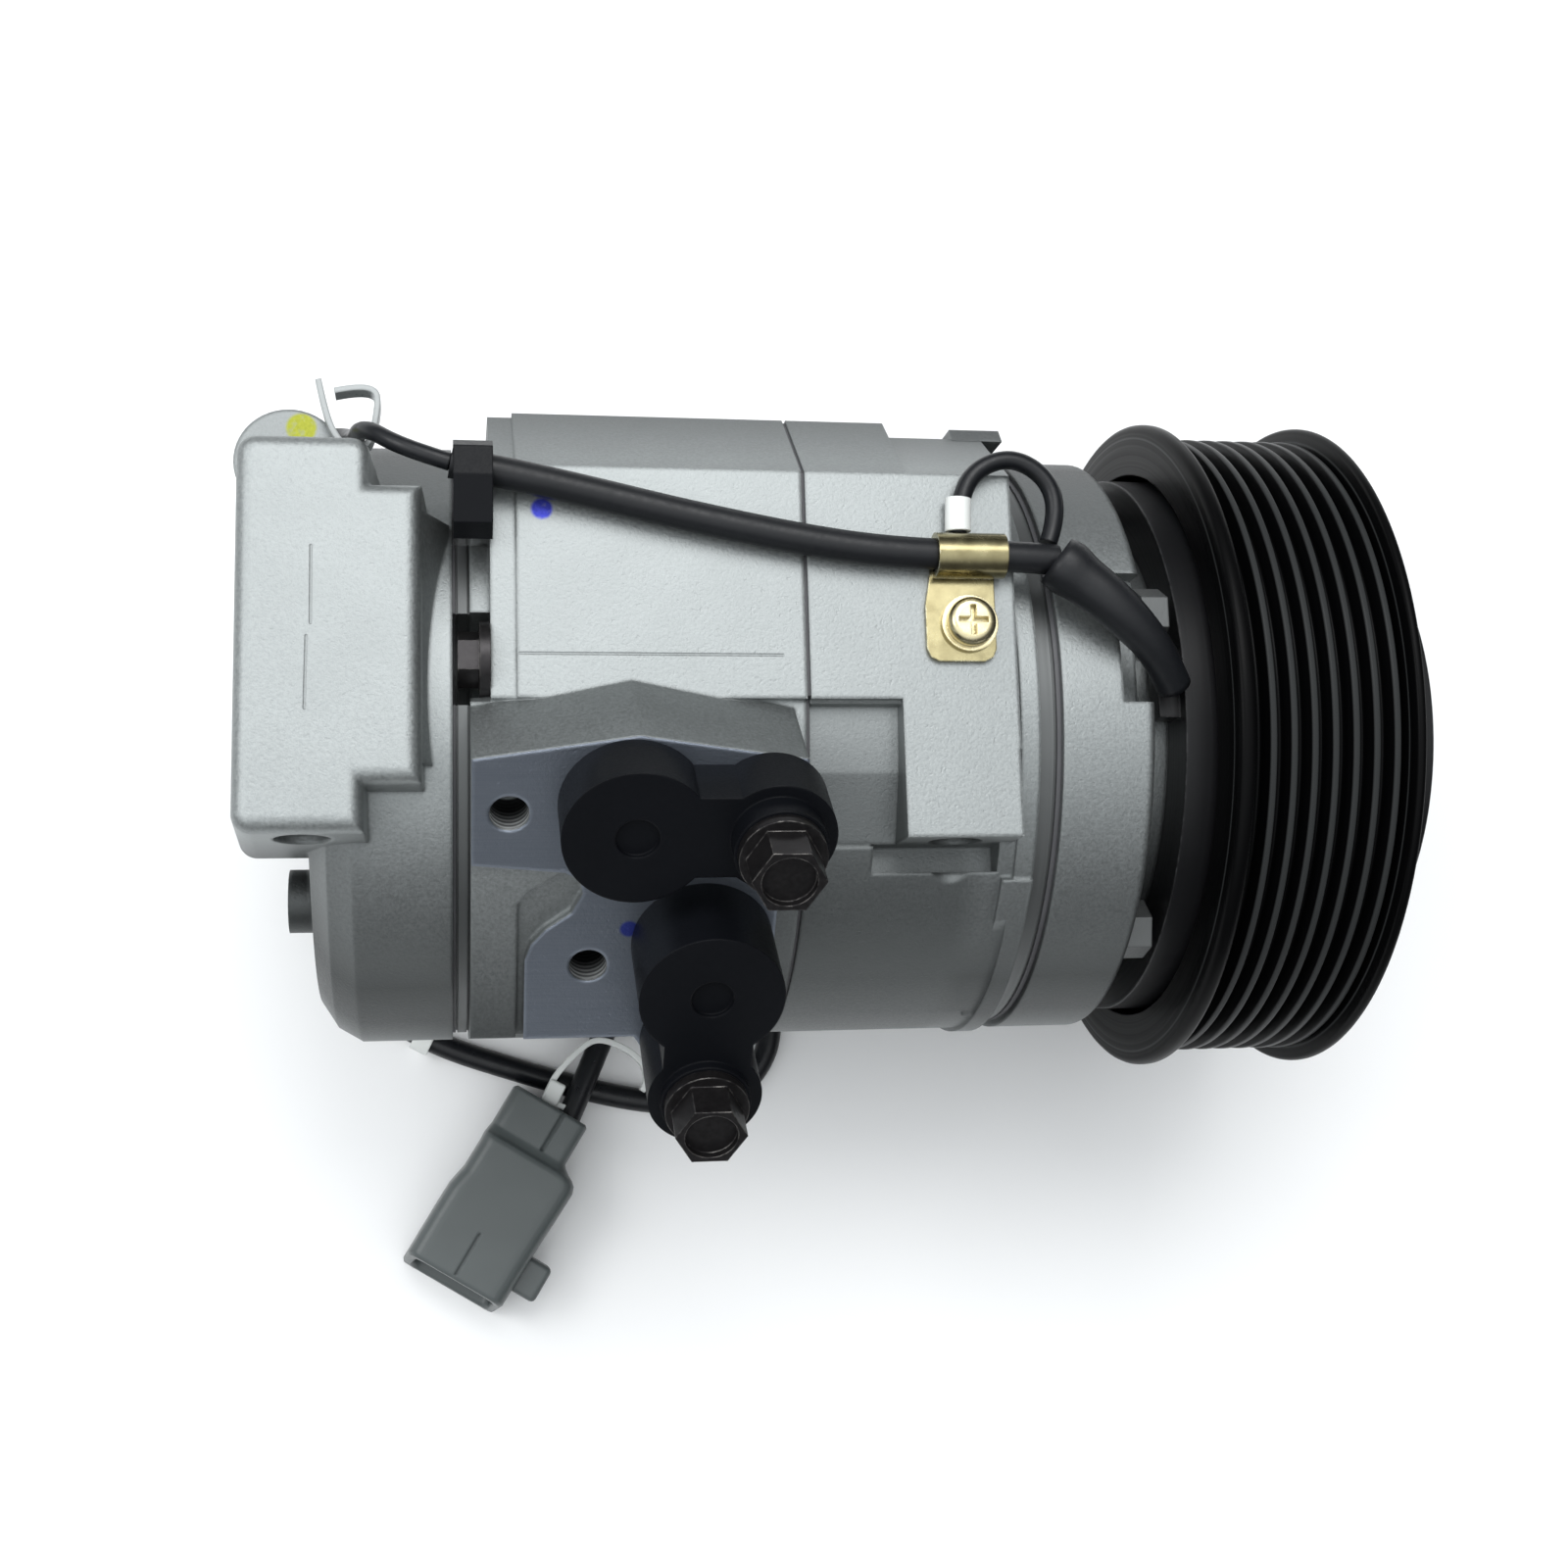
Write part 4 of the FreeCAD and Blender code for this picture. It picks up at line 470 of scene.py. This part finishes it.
def pulley_material():
    """Black coating, with a painted highlight: a lighter line along the crests of the ribs."""
    n = Nodes("pulley_coating")
    place = n.add("ShaderNodeSeparateXYZ")
    n.feed(place.inputs[0], n.rings())
    radius = place.outputs["Y"]
    rising = n.span(radius, (RIB_CREST - 0.25) * MM, (RIB_CREST - 0.02) * MM, 0.0, 1.0)
    falling = n.span(radius, (RIB_CREST + 0.1) * MM, (RIB_CREST + 0.3) * MM, 1.0, 0.0)
    grain = n.noise(0.7, vector=n.rings())
    n.bump(grain, 0.01)
    n.shader.inputs["Specular IOR Level"].default_value = 0.06
    # painted highlight: a lighter line along each rib's crest
    colour = n.mix(n.math("MULTIPLY", rising, falling), (0.0014, 0.0014, 0.0016), (0.028, 0.0295, 0.030))
    return n.surface(colour, n.span(grain, 0.3, 0.7, 0.28, 0.42), 0.0)


pulley = lathe("belt_pulley", pulley_outline())
keep(pulley, pulley_material(), "pulley_rotor")
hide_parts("pulley")


# ---- leads and cord ----

SLEEVE_ROUTE = [(-141.4, 33.8, 57.4), (-131, 32.0, 57.0), (-119, 29.6, 56.3), (-105, 26.4, 56.2),
                (-87, 22.9, 56.2), (-74, 21.2, 56.2), (-60, 20.7, 56.2), (-51, 20.6, 56.3), (-45.5, 20.3, 56.0)]
LEAD_ROUTE = [(-141.4, 33.8, 57.4), (-145.8, 35.2, 57.2), (-150.2, 37.2, 56.2), (-153.4, 39.7, 54),
              (-155.4, 41, 50), (-156, 41.8, 44.6), (-156.4, 43.4, 38.8), (-157.2, 45.2, 33.6),
              (-159.2, 46.9, 29.6), (-162.4, 47.2, 27.6), (-166.4, 45.2, 27.4), (-169.8, 41.8, 27.6),
              (-172.4, 37, 28), (-173.3, 31, 28), (-173.1, 25.4, 26.2), (-172.6, 20.8, 22.5)]
TUBE_ROUTE = [(-172.6, 20.8, 22.5), (-172.2, 18, 9), (-171.6, 15, -6), (-171.2, 10, -21), (-170.2, 2, -35.5),
              (-167.4, -8, -48.5), (-164, -19, -58.5), (-160.8, -32.5, -63.6), (-155, -44.6, -63.6),
              (-143.5, -51.4, -63.6), (-129.5, -56.2, -63.6), (-115, -60.8, -63.6), (-100, -64.2, -63.6),
              (-84.3, -64.6, -63.6), (-74.5, -53.9, -63.6), (-75.8, -39.5, -63.6), (-87.3, -30.8, -63.4),
              (-101.6, -33.4, -62.8), (-108.4, -45.2, -60.4), (-113.6, -57.0, -57.9), (-118.2, -67.2, -57.2)]
EARTH_ROUTE = [(-46.6, 23.2, 55.6), (-44.8, 28, 55.8), (-46.3, 34, 56), (-52.2, 37.4, 56.2), (-58.6, 35, 56),
               (-61.2, 29.4, 55.6), (-61.4, 24.6, 55.3)]
BOOT_ROUTE = [(-45.5, 20.3, 56.0), (-39.3, 15.4, 56.8), (-33.2, 10.2, 56), (-28, 5.4, 53.6), (-24.6, 1.2, 49.6)]
TUBE_RADIUS = 2.4
BOOT_NECK_WIDE, BOOT_NECK_DEEP, BOOT_TIP = 4.1, 3.9, 2.9

sleeve_material = plastic("sleeve_rubber", (0.010, 0.011, 0.013), (0.005, 0.0055, 0.007), 0.42, 0.8, 0.02,
                          gloss=0.3)
tube_material = plastic("tube_vinyl", (0.008, 0.009, 0.011), (0.004, 0.0045, 0.006), 0.32, 1.6, 0.02, gloss=0.3)

tube = nurbs("connector_tube", TUBE_ROUTE, TUBE_RADIUS)
keep(tube, tube_material)
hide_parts("connector_tube")

for lead_name, route, lead_radius, stuff in (("harness_sleeve", SLEEVE_ROUTE, 2.5, sleeve_material),
                                             ("harness_lead", LEAD_ROUTE, 1.4, tube_material),
                                             ("earth_lead", EARTH_ROUTE, 1.5, tube_material)):
    lead = nurbs(lead_name + "_cord", route, lead_radius)
    keep(lead, stuff)
    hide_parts(lead_name)


def frames_along(points):
    """Directions at the points of a line, with two sideways directions each: one level, one upright."""
    rows = []
    for k, point in enumerate(points):
        ahead = (points[min(k + 1, len(points) - 1)] - points[max(k - 1, 0)]).normalized()
        side = ahead.cross(Vector((0, 0, 1)))
        side = side.normalized() if side.length > 0.05 else Vector((1, 0, 0))
        rows.append((point, ahead, side, side.cross(ahead).normalized()))
    return rows


def sweep(name, points, sections, steps=40):
    """Sweep an oval whose half width and half depth change along the line."""
    loops = []
    for k, (point, ahead, side, up) in enumerate(frames_along(points)):
        wide, deep = sections(k / (len(points) - 1))
        loops.append([point + side * (wide * MM * math.cos(2 * math.pi * s / steps)) +
                      up * (deep * MM * math.sin(2 * math.pi * s / steps)) for s in range(steps)])
    return loft(name, loops)


def boot_section(t):
    """A wide neck around the sleeve and the earth lead, which narrows towards the coil shell."""
    spread = t * t * (3 - 2 * t)
    collar = 0.5 * math.exp(-((t - 0.05) / 0.05) ** 2)
    return (BOOT_NECK_WIDE + collar - (BOOT_NECK_WIDE - BOOT_TIP) * spread,
            BOOT_NECK_DEEP + collar - (BOOT_NECK_DEEP - BOOT_TIP) * spread)


boot = sweep("coil_lead_boot_funnel", centre_line(BOOT_ROUTE), boot_section)
keep(boot, sleeve_material)
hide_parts("coil_lead_boot")


# ---- connector ----

CONNECTOR_PLACE = Matrix.Translation(mm((-121.5, -64, -57.2))) @ Matrix.Rotation(math.radians(238.1), 4, "Z")
# Station, near side, far side, floor, top, groove depth, slot depth and lean of each section, from the rear
# face to the mouth and back into the cavity. The mouth leans, so its floor reaches further than its top.
CONNECTOR_SECTIONS = [(0.0, -7.9, 7.9, -6.1, 6.1, 0.5, 0, 0), (0.5, -8.4, 8.4, -6.6, 6.6, 0.7, 0, 0),
                      (8.4, -8.4, 8.4, -6.6, 6.6, 0.7, 0, 0), (8.8, -8.4, 8.5, -6.6, 6.6, 0, 0, 0),
                      (9.4, -8.5, 9.0, -6.8, 6.8, 0, 0, 0), (10.2, -8.6, 10.1, -7.3, 7.2, 0, 0, 0),
                      (10.8, -8.7, 11.2, -8.2, 8.0, 0, 0, 0), (11.6, -8.7, 12.1, -8.4, 8.2, 0, 0, 0),
                      (13.0, -8.6, 12.6, -8.4, 8.2, 0, 0, 0), (19.0, -8.7, 12.4, -8.4, 8.2, 0, 0, 0),
                      (23.0, -9.5, 12.2, -8.4, 8.2, 0, 0, 0), (28.2, -9.6, 12.0, -8.4, 8.2, 0, 0, 0),
                      (28.5, -9.6, 12.0, -8.4, 8.2, 0, 0.5, 0), (38.6, -9.6, 11.8, -8.4, 8.2, 0, 0.5, 0.2),
                      (39.2, -9.6, 11.8, -8.4, 8.2, 0, 0, 0.2), (39.8, -9.2, 11.4, -8.0, 7.8, 0, 0, 0.2),
                      (39.8, -7.8, 10.4, -6.8, 6.8, 0, 0, 0.2), (39.2, -7.4, 10.0, -6.4, 6.4, 0, 0, 0.2),
                      (14.0, -7.0, 10.4, -6.4, 6.4, 0, 0, 0)]
# where the groove and the slot lie along the top, and the least depth that keeps their corners apart
GROOVE_AT, SLOT_AT, HAIR = 2.8, 0.6, 1e-3


def connector_section(station, near, far, floor, top, groove, slot, lean):
    """One rounded section of the housing, with a groove and a slot along its top."""
    outline = [(far, floor, 2.2), (far, top, 3.4), (GROOVE_AT + 0.5, top), (GROOVE_AT, top - groove - HAIR),
               (GROOVE_AT - 0.5, top), (SLOT_AT + 0.35, top), (SLOT_AT, top - slot - HAIR),
               (SLOT_AT - 0.35, top), (near, top, 3.0), (near, floor, 2.2)]
    return [CONNECTOR_PLACE @ mm((station - lean * z, y, z)) for y, z in rounded_corners(outline, steps=6)]


def rounded_block(name, low, high, place, round_mm=0.5):
    """A box between two corners, with rounded edges, put where a matrix says."""
    (x0, y0, z0), (x1, y1, z1) = low, high
    corners = [(x, y, z) for x in (x0, x1) for y in (y0, y1) for z in (z0, z1)]
    faces = [(0, 1, 3, 2), (4, 6, 7, 5), (0, 4, 5, 1), (2, 3, 7, 6), (0, 2, 6, 4), (1, 5, 7, 3)]
    piece = mesh_piece(name, [place @ mm(c) for c in corners], faces, smooth=False)
    bevel = piece.modifiers.new("round", "BEVEL")
    bevel.width = round_mm * MM
    bevel.segments = 3
    return piece


housing = loft("connector_shell", [connector_section(*row) for row in CONNECTOR_SECTIONS], smooth=False)
keep(housing, MATERIALS["grey_plastic"])
latch = rounded_block("connector_latch", (27.5, 11, -3.5), (35, 17, 3.5), CONNECTOR_PLACE, 1.0)
keep(latch, MATERIALS["grey_plastic"])
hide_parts("connector_housing")


# ---- nylon ties and clip ----

TIE_PATH = [(-117.6, -64.9, -57), (-121.1, -63.9, -57), (-121.9, -60.9, -57), (-120.7, -58.2, -57),
            (-117.9, -55.1, -57), (-113.6, -51.2, -57), (-110, -51.1, -57), (-105, -53.6, -57),
            (-102.3, -56.5, -57), (-101.9, -60.1, -57), (-103, -61.6, -57)]
BAND_PATH = [(-145.2, -50.6, -63.1), (-147.0, -49.7, -63.1), (-148.6, -48.9, -63.1)]
EARTH_BAND_PATH = [(-61.2, 30.2, 55.7), (-61.4, 27.4, 55.5), (-61.4, 24.9, 55.3)]
CLIP_PATH = [(-161.9, 50.4, 45), (-161, 46, 45), (-159.6, 41.8, 45), (-157.6, 39.4, 45), (-154.6, 39.4, 45),
             (-153.4, 41.8, 45), (-152.6, 46.8, 45), (-153, 49, 45), (-156, 49.4, 45), (-159.4, 48.6, 45)]


def ribbon(name, path, thin, wide, stuff):
    """A flat strap along a smooth line: thin sideways and wide upright."""
    flat = rounded_corners([(-thin, -wide, 0.25), (thin, -wide, 0.25), (thin, wide, 0.25), (-thin, wide, 0.25)])
    loops = []
    for point, ahead, side, up in frames_along(centre_line(path)):
        loops.append([point + side * (a * MM) + up * (b * MM) for a, b in flat])
    return keep(loft(name, loops, smooth=False), stuff)


ribbon("tie_strap", TIE_PATH, 0.6, 1.4, NYLON)
ribbon("lead_clip", CLIP_PATH, 0.5, 1.8, CLEAR_NYLON)
tie_head = rounded_block("tie_head", (-2.4, -1.6, -2.3), (2.4, 1.9, 2.3),
                         Matrix.Translation(mm((-120.9, -61.6, -57))) @ Matrix.Rotation(1.1, 4, "Z"), 0.5)
keep(tie_head, NYLON)
band = nurbs("tube_band", BAND_PATH, 2.9)
keep(band, NYLON)
earth_band = nurbs("earth_lead_band", EARTH_BAND_PATH, 2.1)
keep(earth_band, NYLON)


# ---- stage and light ----

# The floor's level in millimetres, and half its side in metres.
FLOOR_LEVEL, FLOOR_HALF = -66.0, 3.0
KEY_LIGHT = ((-60, 300, 620), (-80, 0, 0), 0.4, 2.0)
SIDE_LIGHT = ((-480, 90, 420), (-120, 0, 0), 0.25, 0.6)
# The sky is brightest about this direction, and falls off between the two cosines.
SKY_TOP = (-0.30, 0.08, 0.951)
SKY_SPREAD = (("From Min", 0.3), ("From Max", 0.97), ("To Min", 0.14), ("To Max", 1.75))


def add_floor():
    """A plain pale floor under the part."""
    corners = [(x * FLOOR_HALF, y * FLOOR_HALF, FLOOR_LEVEL * MM)
               for x, y in ((-1, -1), (1, -1), (1, 1), (-1, 1))]
    piece = mesh_piece("floor", corners, [(0, 1, 2, 3)], smooth=False)
    floor = Nodes("floor_white")
    piece.data.materials.append(floor.surface((0.93, 0.93, 0.93, 1.0), 0.9, 0.0))


def add_light(name, place, target, size, power):
    """A soft round lamp that looks at a target."""
    data = bpy.data.lights.new(name, "AREA")
    data.shape = "DISK"
    data.size = size
    data.energy = power
    lamp = bpy.data.objects.new(name, data)
    lamp.location = mm(place)
    lamp.rotation_euler = (mm(target) - mm(place)).to_track_quat("-Z", "Y").to_euler()
    bpy.context.scene.collection.objects.link(lamp)


def add_world():
    """A soft studio: bright overhead and dim near the horizon."""
    world = bpy.data.worlds.new("studio")
    world.use_nodes = True
    tree = world.node_tree
    place = tree.nodes.new("ShaderNodeTexCoord")
    lean = tree.nodes.new("ShaderNodeVectorMath")
    lean.operation = "DOT_PRODUCT"
    lean.inputs[1].default_value = SKY_TOP
    tree.links.new(place.outputs["Generated"], lean.inputs[0])
    spread = tree.nodes.new("ShaderNodeMapRange")
    spread.interpolation_type = "SMOOTHSTEP"
    for name, number in SKY_SPREAD:
        spread.inputs[name].default_value = number
    tree.links.new(lean.outputs["Value"], spread.inputs["Value"])
    sky = tree.nodes["Background"]
    sky.inputs["Color"].default_value = (0.95, 0.98, 1.0, 1.0)
    tree.links.new(spread.outputs["Result"], sky.inputs["Strength"])
    bpy.context.scene.world = world


add_floor()
add_world()
add_light("key", *KEY_LIGHT)
add_light("side", *SIDE_LIGHT)
bpy.context.scene.view_settings.view_transform = "Standard"
